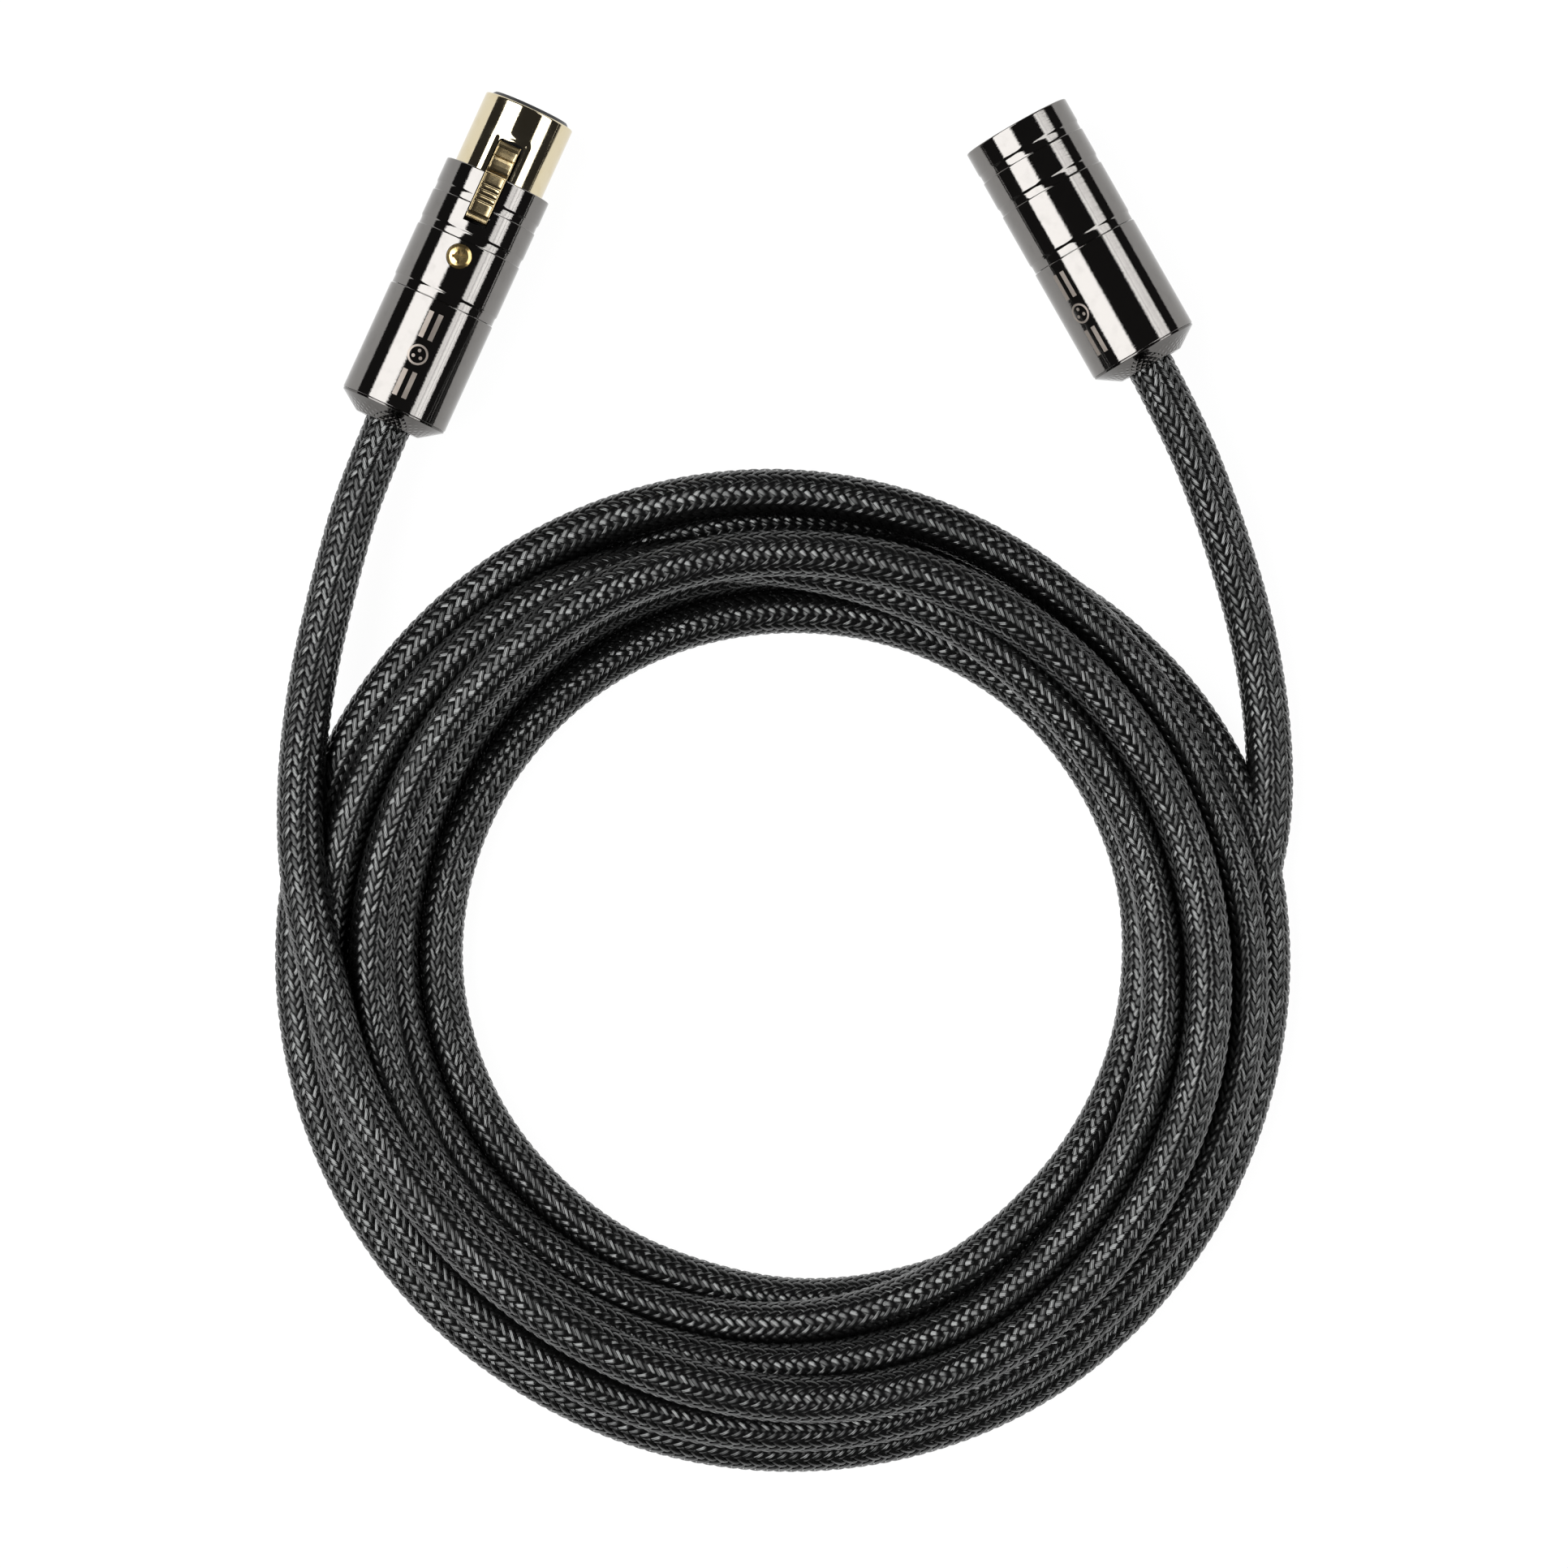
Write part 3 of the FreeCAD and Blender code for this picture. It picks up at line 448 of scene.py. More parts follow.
def plated(name, end, tint, stain, knurled=False, **worked):
    """A plated, turned metal on one connector."""
    material, shader, coordinates = blank_material(name)
    vector = connector_coordinates(coordinates["Object"], end)
    metal = use_group(worked_metal, vector, **worked)
    normal = metal["Normal"]
    if knurled:
        normal = use_group(knurl, vector, Normal=normal)["Normal"]
    feed(shader, {
        "Metallic": 1.0, "Base Color": tinted(metal["Tarnish"], tint, stain),
        "Roughness": metal["Roughness"], "Normal": normal,
    })
    return material


def plated_pair(name, tint, stain, **worked):
    """The same plated metal for both connectors."""
    return {end: plated(f"{end}_{name}", end, tint, stain, **worked) for end in PLACES}


dark_chrome = plated_pair(
    "dark_chrome", (0.198, 0.19, 0.182), (0.178, 0.171, 0.164),
    Roughness=0.03, Smudge=0.05, Waviness=4.0,
)
# Painted shade: the caps' plating is tinted darker than the barrels' to stand for darker reflections.
shaded_cap_chrome = plated_pair(
    "shaded_cap_chrome", (0.12, 0.115, 0.11), (0.1, 0.095, 0.09), knurled=True,
    Roughness=0.06, Smudge=0.1, Waviness=2.0,
)
gold_plate = plated_pair(
    "gold_plate", (0.68, 0.6, 0.42), (0.64, 0.55, 0.36), Roughness=0.06, Smudge=0.1, Waviness=1.6
)
satin_mark = plated_pair(
    "satin_mark", (0.42, 0.37, 0.33), (0.36, 0.31, 0.27), Roughness=0.42, Smudge=0.1, Waviness=1.5
)
spring_steel = plated(
    "spring_steel", "female", (0.58, 0.57, 0.55), (0.5, 0.48, 0.46), Roughness=0.2, Smudge=0.15
)
print("metals:", [material.name for material in bpy.data.materials if "floor" not in material.name])

# %% [markdown]
# ## Finishes: plastics and wires
# Moulded plastic has a fine grain that only shows where light grazes it. The insulated wires, the
# collet and the inserts share one grain group with their own scale and colour.

# %% Plastics
GRAIN_DEPTH = 0.00001
moulded_grain, given, made = new_group(
    "moulded_grain",
    {"Vector": None, "Scale": 6000.0, "Roughness": 0.5},
    ("Roughness", "Normal", "Shade"),
)
grain = noise(given["Vector"], given["Scale"], 3)
uneven = ranged(noise(given["Vector"], 300, 3), 0.3, 0.7, -0.06, 0.08)
feed(made, {
    "Normal": bump(grain, GRAIN_DEPTH),
    "Roughness": maths("ADD", uneven, given["Roughness"]),
    "Shade": grain,
})


def moulded(name, low, high, scale, roughness):
    """A moulded plastic between two shades of one colour."""
    material, shader, coordinates = blank_material(name)
    plastic = use_group(moulded_grain, coordinates["Object"], Scale=scale, Roughness=roughness)
    feed(shader, {
        "Base Color": tinted(plastic["Shade"], low, high),
        "Roughness": plastic["Roughness"], "Normal": plastic["Normal"],
    })
    return material


black_plastic = moulded("black_plastic", (0.007, 0.007, 0.008), (0.016, 0.016, 0.018), 6000.0, 0.45)
white_plastic = moulded("white_plastic", (0.72, 0.71, 0.68), (0.82, 0.81, 0.78), 4000.0, 0.4)
red_wire = moulded("red_wire", (0.5, 0.02, 0.015), (0.62, 0.03, 0.02), 3000.0, 0.3)
blue_wire = moulded("blue_wire", (0.02, 0.07, 0.4), (0.03, 0.1, 0.5), 3000.0, 0.3)
bare_wire = plated(
    "bare_wire", "female", (0.75, 0.5, 0.36), (0.6, 0.42, 0.3), Roughness=0.3, Smudge=0.2
)
black_jacket = moulded("black_jacket", (0.006, 0.006, 0.006), (0.012, 0.012, 0.012), 5000.0, 0.6)
cable_jacket.data.materials.append(black_jacket)
print("plastics ready, the jacket is", cable_jacket.data.materials[0].name)

# %% [markdown]
# ## Dressing the CAD nodes that stay
# The inner pieces already have the right shape, so they keep their CAD meshes and only change
# material. The outer pieces get finer meshes of their own below.

# %% Materials of the carried-over nodes
WIRE_COLOURS = {1: bare_wire, 2: red_wire, 3: blue_wire}
dressed = {"female_latch_pin": spring_steel, "female_latch_spring": spring_steel}
for end in PLACES:
    dressed[f"{end}_insert"] = black_plastic
    dressed[f"{end}_ground_ring"] = gold_plate[end]
    dressed[f"{end}_collet"] = white_plastic
    for number, wire_colour in WIRE_COLOURS.items():
        dressed[f"{end}_contact_{number}"] = gold_plate[end]
        dressed[f"{end}_lead_{number}"] = wire_colour
for node_name, material in dressed.items():
    for material_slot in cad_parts[node_name].material_slots:
        material_slot.material = material
print(len(dressed), "CAD nodes dressed")

# %% [markdown]
# ## Turning a barrel
# Caps, sleeves, housings, the nose shell and the screws are all turned, so one helper sweeps a closed
# outline of (radius, height) points round the axis. Mirror-bright metal shows every flaw in its
# normals, so each corner of the outline is rounded by a real arc, with one more point close to each
# end of the arc: smooth shading then bends only inside the arc and stays true on the long faces.
# Each piece is made in its connector's millimetres and laid down last, so its object stays at the
# origin, unturned and unscaled.

# %% Helpers for turned pieces
SEGMENTS = 160
# In millimetres: the least rounding worth making, the extra point's distance from an arc, and how
# close to the axis a point counts as lying on it.
LEAST_ROUNDING = 0.002
GUARD = 0.03
ON_AXIS = 0.001


def soften(corners, rounding=0.1, steps=4):
    """A closed outline with rounded corners. A third number on a corner is its own rounding."""
    points = []
    for index, corner in enumerate(corners):
        here = np.array(corner[:2], float)
        back = np.array(corners[index - 1][:2]) - here
        ahead = np.array(corners[(index + 1) % len(corners)][:2]) - here
        shorter = min(np.linalg.norm(back), np.linalg.norm(ahead))
        back, ahead = back / np.linalg.norm(back), ahead / np.linalg.norm(ahead)
        half = math.acos(max(-1.0, min(1.0, back @ ahead))) / 2
        wanted = corner[2] if len(corner) > 2 else rounding
        reach = min(wanted / math.tan(half), 0.4 * shorter)
        if reach < LEAST_ROUNDING or here[0] < ON_AXIS:
            points.append(here)
            continue
        bisector = (back + ahead) / np.linalg.norm(back + ahead)
        centre = here + bisector * reach / math.cos(half)
        first, last = here + back * reach - centre, here + ahead * reach - centre
        sweep = math.pi - 2 * half
        guard = min(GUARD, 0.1 * shorter)
        points.append(centre + first + back * guard)
        for step in range(steps + 1):
            share = step / steps
            mixed = math.sin((1 - share) * sweep) * first + math.sin(share * sweep) * last
            points.append(centre + mixed / math.sin(sweep))
        points.append(centre + last + ahead * guard)
    return points


def finished(name, shape):
    """The object of a closed shape, with its faces turned outwards."""
    bmesh.ops.recalc_face_normals(shape, faces=shape.faces)
    mesh = bpy.data.meshes.new(name)
    shape.to_mesh(mesh)
    shape.free()
    return link_new(name, mesh)


def skin(shape, loop, following):
    """Faces all the way round between two loops of as many points."""
    for index in range(len(loop)):
        after = (index + 1) % len(loop)
        corners = dict.fromkeys((loop[index], loop[after], following[after], following[index]))
        if len(corners) > 2:
            shape.faces.new(list(corners))


def turn(name, outline, segments=SEGMENTS):
    """A closed outline swept round +Z, in millimetres."""
    shape = bmesh.new()
    rings = []
    for radius, height in outline:
        spots = range(segments if radius > ON_AXIS else 1)
        turns = [2 * math.pi * spot / segments for spot in spots]
        ring = [shape.verts.new((radius * math.cos(a), radius * math.sin(a), height)) for a in turns]
        rings.append(ring * (segments // len(ring)))
    for ring, following in zip(rings, rings[1:] + rings[:1]):
        skin(shape, ring, following)
    return finished(name, shape)


def prism(name, outline, low, high):
    """A flat outline of (x, z) points, carried from one height above the axis to another."""
    shape = bmesh.new()
    lower, upper = ([shape.verts.new((x, y, z)) for x, z in outline] for y in (low, high))
    shape.faces.new(lower)
    shape.faces.new(upper[::-1])
    skin(shape, lower, upper)
    return finished(name, shape)


def keep_result(piece):
    """Make what the modifiers give the piece's own plain mesh, and drop them."""
    result = piece.evaluated_get(bpy.context.evaluated_depsgraph_get())
    piece.data = bpy.data.meshes.new_from_object(result)
    piece.modifiers.clear()


def cut_away(piece, *cutters):
    """Cut other shapes out of a piece, and throw them away."""
    for cutter in cutters:
        cut = piece.modifiers.new("cut", "BOOLEAN")
        cut.solver = "EXACT"
        cut.object = cutter
    keep_result(piece)
    for cutter in cutters:
        bpy.data.objects.remove(cutter)


def install(piece, end, material, body="cable", sharp=35):
    """Lay a finished piece down, shade it, give it its material, and hang it under its body's empty."""
    piece.data.transform(own_frame(end))
    piece.data.shade_smooth()
    piece.data.set_sharp_from_angle(angle=math.radians(sharp))
    piece.data.materials.clear()
    piece.data.materials.append(material)
    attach(piece, body)
    print(piece.name, len(piece.data.polygons), "faces")


print("outline helpers ready,", SEGMENTS, "segments round")

# %% [markdown]
# ## End caps and sleeves
# The cap is the cone that screws into the rear of the barrel and squeezes the collet. It stands in a
# hair from the sleeve, and its rounded rim draws the bright line of that seam.

# %% Caps and sleeves
RADIUS = {"female": 9.3, "male": 9.45}
SLEEVE_END = {"female": 19.3, "male": 19.9}
for end, radius in RADIUS.items():
    rim = radius - 0.12
    cap_outline = [
        (4.35, -2.8, 0.25), (5.6, -2.8, 0.3), (rim, -0.35, 0.12), (rim, -0.02, 0.05),
        (7.55, -0.02), (7.55, 5.2), (4.35, 5.2),
    ]
    cap = turn(f"{end}_cap", soften(cap_outline))
    install(cap, end, shaded_cap_chrome[end])
    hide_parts(f"{end}_end_cap")
    front = SLEEVE_END[end]
    sleeve_outline = [
        (7.6, 0.0), (radius, 0.0, 0.12), (radius, front - 0.1, 0.12), (8.2, front - 0.1),
        (8.2, front - 6.1), (7.6, front - 6.1),
    ]
    sleeve = turn(f"{end}_barrel", soften(sleeve_outline))
    install(sleeve, end, dark_chrome[end])
    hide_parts(f"{end}_sleeve")

# %% [markdown]
# ## Housings
# The grooves turned into a housing have soft edges and a nearly flat floor, so a reflected light
# breaks up in them into a separate rounded patch. The female housing is slotted for the latch, and
# both are drilled for a screw: those are cut out of the turned shape with Boolean modifiers, whose
# result replaces the mesh.

# %% Female housing
SCREW_PLACE = 27.3
SCREW_HOLE, SCREW_SEAT, SEAT_DEPTH = 1.1, 2.2, 0.45
LATCH_HALF = 1.9
SLOT_START, SLOT_FLOOR = 33.2, 4.8
# Cutters reach this far from the axis, and SHIFT is how far aside one outline is made.
CLEAR = 12
SHIFT = 20
# A groove's cross-section, as (along, deep): a crisp step at the rear, then a soft rise forwards.
GROOVE_DEPTH = 0.17
GROOVE = [
    (-0.09, 0), (-0.04, 0), (0, 0.012), (0.03, 0.05), (0.06, 0.11), (0.1, 0.15), (0.17, 0.168),
    (0.4, GROOVE_DEPTH), (1.1, GROOVE_DEPTH), (1.2, 0.165), (1.3, 0.152), (1.38, 0.13),
    (1.46, 0.095), (1.53, 0.058), (1.6, 0.028), (1.68, 0.008), (1.78, 0), (1.85, 0),
]
GROOVE_FLOOR = 7


def groove(radius, start):
    """The outline's points along one groove, which need no more rounding."""
    return [(radius - deep, start + along, 0) for along, deep in GROOVE]


def seam_groove(radius, start):
    """The outline where the sleeve ends: a thin neck inside it, and a groove from its floor on."""
    neck = [(8.15, start - 0.02, 0), (radius - GROOVE_DEPTH, start + 0.02, 0)]
    return neck + groove(radius, start)[GROOVE_FLOOR:]


def circle(across, along, radius, count):
    """Points of a circle, in the two directions along a barrel's surface."""
    turns = [2 * math.pi * spot / count for spot in range(count)]
    return [(across + radius * math.cos(a), along + radius * math.sin(a)) for a in turns]


def round_hole(name, radius, low, high):
    """A round cutter where the screw goes, from one height above the axis to another."""
    return prism(name, circle(0, SCREW_PLACE, radius, 48), low, high)


def slot_cutter(margin, stop, corner):
    """A round-cornered cutter for the latch's slot, open upwards. Its outline is softened well away
    from x = 0, where corners are left sharp."""
    near, far = SHIFT - LATCH_HALF - margin, SHIFT + LATCH_HALF + margin
    shifted = [(far, SLOT_START, 0.1), (far, stop, corner)]
    shifted += [(near, stop, corner), (near, SLOT_START, 0.1)]
    outline = [(x - SHIFT, z) for x, z in soften(shifted, steps=6)]
    return prism("slot", outline, SLOT_FLOOR, CLEAR)


radius = RADIUS["female"]
housing_outline = [
    (7.0, 13.3), (8.15, 13.3), *seam_groove(radius, SLEEVE_END["female"]),
    *groove(radius, 30.0), *groove(radius, 36.2),
    (radius, 42.0, 0.22), (7.95, 42.0, 0.06), (7.95, 24.0), (7.0, 24.0),
]
female_barrel_front = turn("female_barrel_front", soften(housing_outline))
cut_away(
    female_barrel_front,
    slot_cutter(0.16, 49.0, 0.3),
    round_hole("screw_hole", SCREW_HOLE, 4.5, CLEAR),
    round_hole("screw_seat", SCREW_SEAT, radius - SEAT_DEPTH, CLEAR),
)
install(female_barrel_front, "female", dark_chrome["female"])
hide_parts("female_housing")

# %% [markdown]
# The male housing is turned the same way. Its wall is thin round the open mouth, and inside it has
# the pocket that the latch's hook catches in. Its screw sits opposite the latch side.

# %% Male housing
radius = RADIUS["male"]
housing_outline = [
    (7.2, 13.9), (8.15, 13.9), *seam_groove(radius, SLEEVE_END["male"]),
    *groove(radius, 30.8), *groove(radius, 37.2),
    (radius, 43.0, 0.22), (8.5, 43.0, 0.08), (8.1, 42.6, 0.08), (8.1, 24.0), (7.2, 24.0),
]
male_barrel_front = turn("male_barrel_front", soften(housing_outline))
catch = prism("catch", [(-2.2, 36.4), (2.2, 36.4), (2.2, 39.55), (-2.2, 39.55)], 7.0, 8.9)
cut_away(
    male_barrel_front,
    catch,
    round_hole("screw_hole", SCREW_HOLE, -CLEAR, -6.3),
    round_hole("screw_seat", SCREW_SEAT, -CLEAR, SEAT_DEPTH - radius),
)
install(male_barrel_front, "male", dark_chrome["male"])
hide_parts("male_housing")

# %% [markdown]
# ## Nose shell
# The gold nose is a thin turned shell with a rounded rim. Round the front of the latch its skin
# dips into the slot. A function lowers the turned mesh near the slot's edge before the slot is cut,
# which bends the reflections there as pressed metal does.

# %% Nose
NOSE_RADIUS = 7.9
SLOT_STOP = 48.25
DIP_DEPTH, DIP_REACH = 0.36, 0.6
nose_rows = [(NOSE_RADIUS, height, 0) for height in np.arange(40.0, 51.01, 0.2)]
nose_outline = [
    (7.1, 24.0), (NOSE_RADIUS, 24.0), *nose_rows,
    (NOSE_RADIUS, 54.7, 0.75), (7.1, 54.7, 0.12),
]
female_nose_shell = turn("female_nose_shell", soften(nose_outline, steps=6), segments=256)
for vertex in female_nose_shell.data.vertices:
    across, up, height = vertex.co
    if up > 0 and math.hypot(across, up) > NOSE_RADIUS - 0.1 and height > 39:
        beyond = math.hypot(max(0.0, abs(across) - LATCH_HALF - 0.3), max(0.0, height - SLOT_STOP))
        dip = DIP_DEPTH * math.exp(-((beyond / DIP_REACH) ** 2))
        vertex.co.x *= 1 - dip / NOSE_RADIUS
        vertex.co.y *= 1 - dip / NOSE_RADIUS
cut_away(
    female_nose_shell,
    slot_cutter(0.3, SLOT_STOP, 0.7),
    round_hole("screw_hole", SCREW_HOLE, 4.5, CLEAR),
)
install(female_nose_shell, "female", gold_plate["female"])
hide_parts("female_nose")

# %% [markdown]
# ## Latch
# The latch is a small pressed lever: a satin lip at the rear, a thumb tray with side rims and four
# ridges, a dished neck, and a hook with a sloping front. All of that is a height along the lever and
# across it, so it is skinned from cross-sections, close together where the height changes quickly.

# %% Latch
# Along the lever: (place, height) of the middle of its upper face.
LATCH_LINE = [
    (33.75, 8.6), (33.8, 8.95), (33.95, 9.2), (34.2, 9.33), (34.5, 9.38), (34.8, 9.34), (34.98, 9.24),
    (35.08, 9.04), (35.2, 8.97), (36.7, 9.0), (40.5, 9.04), (41.85, 9.06), (41.98, 9.2), (42.12, 9.26),
    (42.26, 9.2), (42.38, 8.95), (42.6, 8.62), (43.0, 8.42), (43.7, 8.33), (44.5, 8.36), (44.95, 8.45),
    (45.02, 8.3), (45.12, 8.28), (45.2, 8.62), (45.3, 8.72), (46.0, 8.78), (46.65, 8.8), (46.78, 8.76),
    (47.2, 8.42), (47.6, 8.05), (47.76, 7.85), (47.8, 7.6),
]
RIDGES = (37.25, 38.2, 39.15, 40.1)
RIDGE_HEIGHT = 0.2
RIM_HEIGHT = 0.24
# Along the lever: (place, share) of the height of the rims beside its floor.
RIM_LINE = [
    (35.0, 0), (35.2, 1), (41.9, 1), (42.05, 0), (43.2, 0.25), (45.3, 0.3), (46.6, 0.3), (47.2, 0),
]
LATCH_UNDER = 7.3
# Across the lever: share of the half width, how far down the edge has dropped, and how much of the
# tray's floor shows there (its rims stand up beside it).
ACROSS = [
    (-1.0, 0.16, 0), (-0.985, 0.06, 0), (-0.955, 0.01, 0), (-0.92, 0, 0), (-0.885, 0, 0.15),
    (-0.85, 0, 0.85), (-0.8, 0, 1), (-0.4, 0, 1), (0, 0, 1),
]
ACROSS += [(-share, drop, floor_share) for share, drop, floor_share in ACROSS[-2::-1]]


def latch_height(place, floor_share):
    """The upper face's height: the middle line, the ridges on the floor and the rims beside it."""
    height = np.interp(place, *zip(*LATCH_LINE))
    ridged = sum(RIDGE_HEIGHT * math.exp(-(((place - ridge) / 0.2) ** 2)) for ridge in RIDGES)
    rim = RIM_HEIGHT * np.interp(place, *zip(*RIM_LINE))
    return height + floor_share * ridged + (1 - floor_share) * rim


bends = [place for place, _ in LATCH_LINE]
stations = np.unique(np.concatenate([bends, np.arange(33.9, 47.7, 0.07)]))
latch_shape = bmesh.new()
sections = []
for place in stations:
    top = [
        (LATCH_HALF * share, latch_height(place, floor_share) - drop)
        for share, drop, floor_share in ACROSS
    ]
    section = [(-LATCH_HALF, LATCH_UNDER)] + top + [(LATCH_HALF, LATCH_UNDER)]
    sections.append([latch_shape.verts.new((x, y, place)) for x, y in section])
for section, following in zip(sections, sections[1:]):
    skin(latch_shape, section, following)
latch_shape.faces.new(sections[0][::-1])
latch_shape.faces.new(sections[-1])
latch_lever = finished("latch_lever", latch_shape)
cut_away(latch_lever, turn("eye", [(0, -3), (0.45, -3), (0.45, 3), (0, 3)], 24))
latch_gold = plated(
    "latch_gold", "female", (0.5, 0.4, 0.23), (0.4, 0.3, 0.15),
    Roughness=0.2, Smudge=0.15, Waviness=1.5,
)
install(latch_lever, "female", latch_gold, "latch", sharp=50)
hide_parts("female_latch")

# %% [markdown]
# ## Screws
# Each retaining screw is turned upright as well, then its head gets a cross-shaped recess and the
# screw is tipped over to lie across the barrel. Only the recess's sharp corners catch much light.

# %% Screws
screw_gold = plated(
    "screw_gold", "female", (0.82, 0.6, 0.26), (0.7, 0.46, 0.16),
    Roughness=0.15, Smudge=0.2, Waviness=2.0,
)


def cross_head_screw(name, end, tip, side):
    """A domed screw across the barrel, on the latch side (1) or opposite it (-1)."""
    under = RADIUS[end] - SEAT_DEPTH
    outline = [
        (0, tip), (1.0, tip, 0.1), (1.0, under, 0.02), (2.1, under, 0.05), (2.1, under + 0.42, 0.14),
        (1.6, under + 0.74, 0.5), (0.85, under + 0.9, 0.5), (0, under + 0.9),
    ]
    screw = turn(name, soften(outline, steps=5), 96)
    arm = [(1.2, 0.26), (-1.2, 0.26), (-1.2, -0.26), (1.2, -0.26)]
    for spin in (20, 110):
        blade = prism("blade", arm, under + 0.35, under + 2)
        blade.data.transform(Matrix.Rotation(math.pi / 2, 4, "X"))
        blade.data.transform(Matrix.Rotation(math.radians(spin), 4, "Z"))
        cut_away(screw, blade)
    screw.data.transform(Matrix.Rotation(-side * math.pi / 2, 4, "X"))
    screw.data.transform(Matrix.Translation((0, 0, SCREW_PLACE)))
    install(screw, end, screw_gold)
    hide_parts(f"{end}_screw")


cross_head_screw("female_cross_screw", "female", 4.8, 1)
cross_head_screw("male_cross_screw", "male", 6.6, -1)

# %% [markdown]
# ## Printed marks
# Both barrels carry a satin mark. This one is a plain drawing of the three-pin plug face between two
# pairs of bars. Flat outlines are wrapped round the barrel and given a hair of thickness.

# %% Marks
MARK_LIFT, MARK_ROOT = 0.018, -0.04
MERGE = 0.0005
BAR_HALF = 0.42


def wrapped_mark(end, shapes, aside):
    """Closed outlines of (around, along) points laid on the barrel. Each has an inner outline too."""
    shape = bmesh.new()

    def ring(outline, lift):
        far = RADIUS[end] + lift
        spots = [((around + aside) / RADIUS[end], along) for around, along in outline]
        return [shape.verts.new((far * math.sin(a), far * math.cos(a), along)) for a, along in spots]

    for outer, inner in shapes:
        upper, lower, upper_in, lower_in = (
            ring(outline, lift) for outline in (outer, inner) for lift in (MARK_LIFT, MARK_ROOT)
        )
        for index in range(len(outer)):
            after = (index + 1) % len(outer)
            shape.faces.new((upper[index], upper[after], upper_in[after], upper_in[index]))
            shape.faces.new((lower[index], lower_in[index], lower_in[after], lower[after]))
            shape.faces.new((upper[index], lower[index], lower[after], upper[after]))
            shape.faces.new((upper_in[index], upper_in[after], lower_in[after], lower_in[index]))
    bmesh.ops.remove_doubles(shape, verts=shape.verts, dist=MERGE)
    bmesh.ops.dissolve_degenerate(shape, edges=shape.edges, dist=MERGE)
    install(finished(f"{end}_mark", shape), end, satin_mark[end], sharp=20)


def plug_face(middle):
    """A ring, three pins, and two bars on each side."""
    shapes = [(circle(0, middle, 1.75, 64), circle(0, middle, 1.4, 64))]
    for angle in (90, 210, 330):
        pin = math.radians(angle)
        spot = (0.75 * math.cos(pin), middle + 0.75 * math.sin(pin))
        shapes.append((circle(*spot, 0.3, 20), circle(*spot, 0.02, 20)))
    for way in (-1, 1):
        start, stop = middle + way * 2.9, middle + way * 7.6
        for around in (-0.85, 0.85):
            left, right = around - BAR_HALF, around + BAR_HALF
            outer = [(left, start), (right, start), (right, stop), (left, stop)]
            inner = [(around, start + way * BAR_HALF)] * 2 + [(around, stop - way * BAR_HALF)] * 2
            shapes.append((outer, inner))
    return shapes


wrapped_mark("female", plug_face(9.6), -0.5)
wrapped_mark("male", plug_face(10.3), 0.8)

# %% [markdown]
# ## The braided sleeve
# The sleeve is sixteen yarns winding one way and sixteen the other, each passing over two and under
# two. Geometry Nodes suit this: one flat ribbon is instanced once for each yarn, and every point of
# it is then moved onto the cable by a formula of its distance along the cord and its yarn's number.
# A Sample Curve node turns that distance into a place, a direction and a normal of the cord's line.
# Each yarn also keeps its own tone, and a UV map with U across the yarn and V along it.

# %% Braid node tree
YARNS = 16
LAY = 0.0306
SLEEVE_RADIUS = 0.00381
WEAVE_FLATNESS = 1.4

cord_mesh = bpy.data.meshes.new("cord_line")
cord_mesh.from_pydata(line_points, [(i, i + 1) for i in range(len(line_points) - 1)], [])
braid_tree = bpy.data.node_groups.new("braid", "GeometryNodeTree")
braid_sockets = {}
for label, kind in (
    ("Cord", "Geometry"), ("Start", "Float"), ("Length", "Float"), ("Rows", "Int"),
    ("Yarns Each Way", "Int"), ("Lay", "Float"), ("Sleeve Radius", "Float"),
    ("Weave Depth", "Float"), ("Crown", "Float"), ("Yarn Width", "Float"), ("Seed", "Int"),
    ("Material", "Material"),
):
    socket_type = f"NodeSocket{kind}"
    socket = braid_tree.interface.new_socket(label, in_out="INPUT", socket_type=socket_type)
    braid_sockets[label] = socket.identifier
braid_tree.interface.new_socket("Braid", in_out="OUTPUT", socket_type="NodeSocketGeometry")


def node(kind, inputs, **settings):
    """The outputs of a new node of the braid tree."""
    return add_node(braid_tree, kind, inputs, **settings).outputs


def captured(geometry, domain, kind, label, value):
    """Geometry that remembers a value under a name, and the remembered value."""
    inputs = {"Geometry": geometry}
    capture = add_node(braid_tree, "GeometryNodeCaptureAttribute", inputs, domain=domain)
    capture.capture_items.new(kind, label)
    feed(capture, {label: value})
    return capture.outputs["Geometry"], capture.outputs[label]


given = node("NodeGroupInput", {})
yarns, lay, sleeve_radius = given["Yarns Each Way"], given["Lay"], given["Sleeve Radius"]
line = node("GeometryNodeMeshToCurve", {"Mesh": given["Cord"]})["Curve"]
line = node("GeometryNodeSetCurveNormal", {"Curve": line}, mode="Z_UP")["Curve"]

# One flat ribbon, instanced once for each yarn of both directions.
row_count = maths("ADD", given["Rows"], 1)
grid = {"Size X": 1.0, "Size Y": 1.0, "Vertices X": 4, "Vertices Y": row_count}
ribbon = node("GeometryNodeMeshGrid", grid)["Mesh"]
shape_spot = node("GeometryNodeInputPosition", {})[0]
ribbon, ribbon_spot = captured(ribbon, "POINT", "VECTOR", "Ribbon Spot", shape_spot)
yarn_points = node("GeometryNodePoints", {"Count": times(yarns, 2)})[0]
laid = node("GeometryNodeInstanceOnPoints", {"Points": yarn_points, "Instance": ribbon})[0]
laid, yarn = captured(laid, "INSTANCE", "INT", "Yarn", node("GeometryNodeInputIndex", {})[0])
loose = node("GeometryNodeRealizeInstances", {"Geometry": laid})[0]

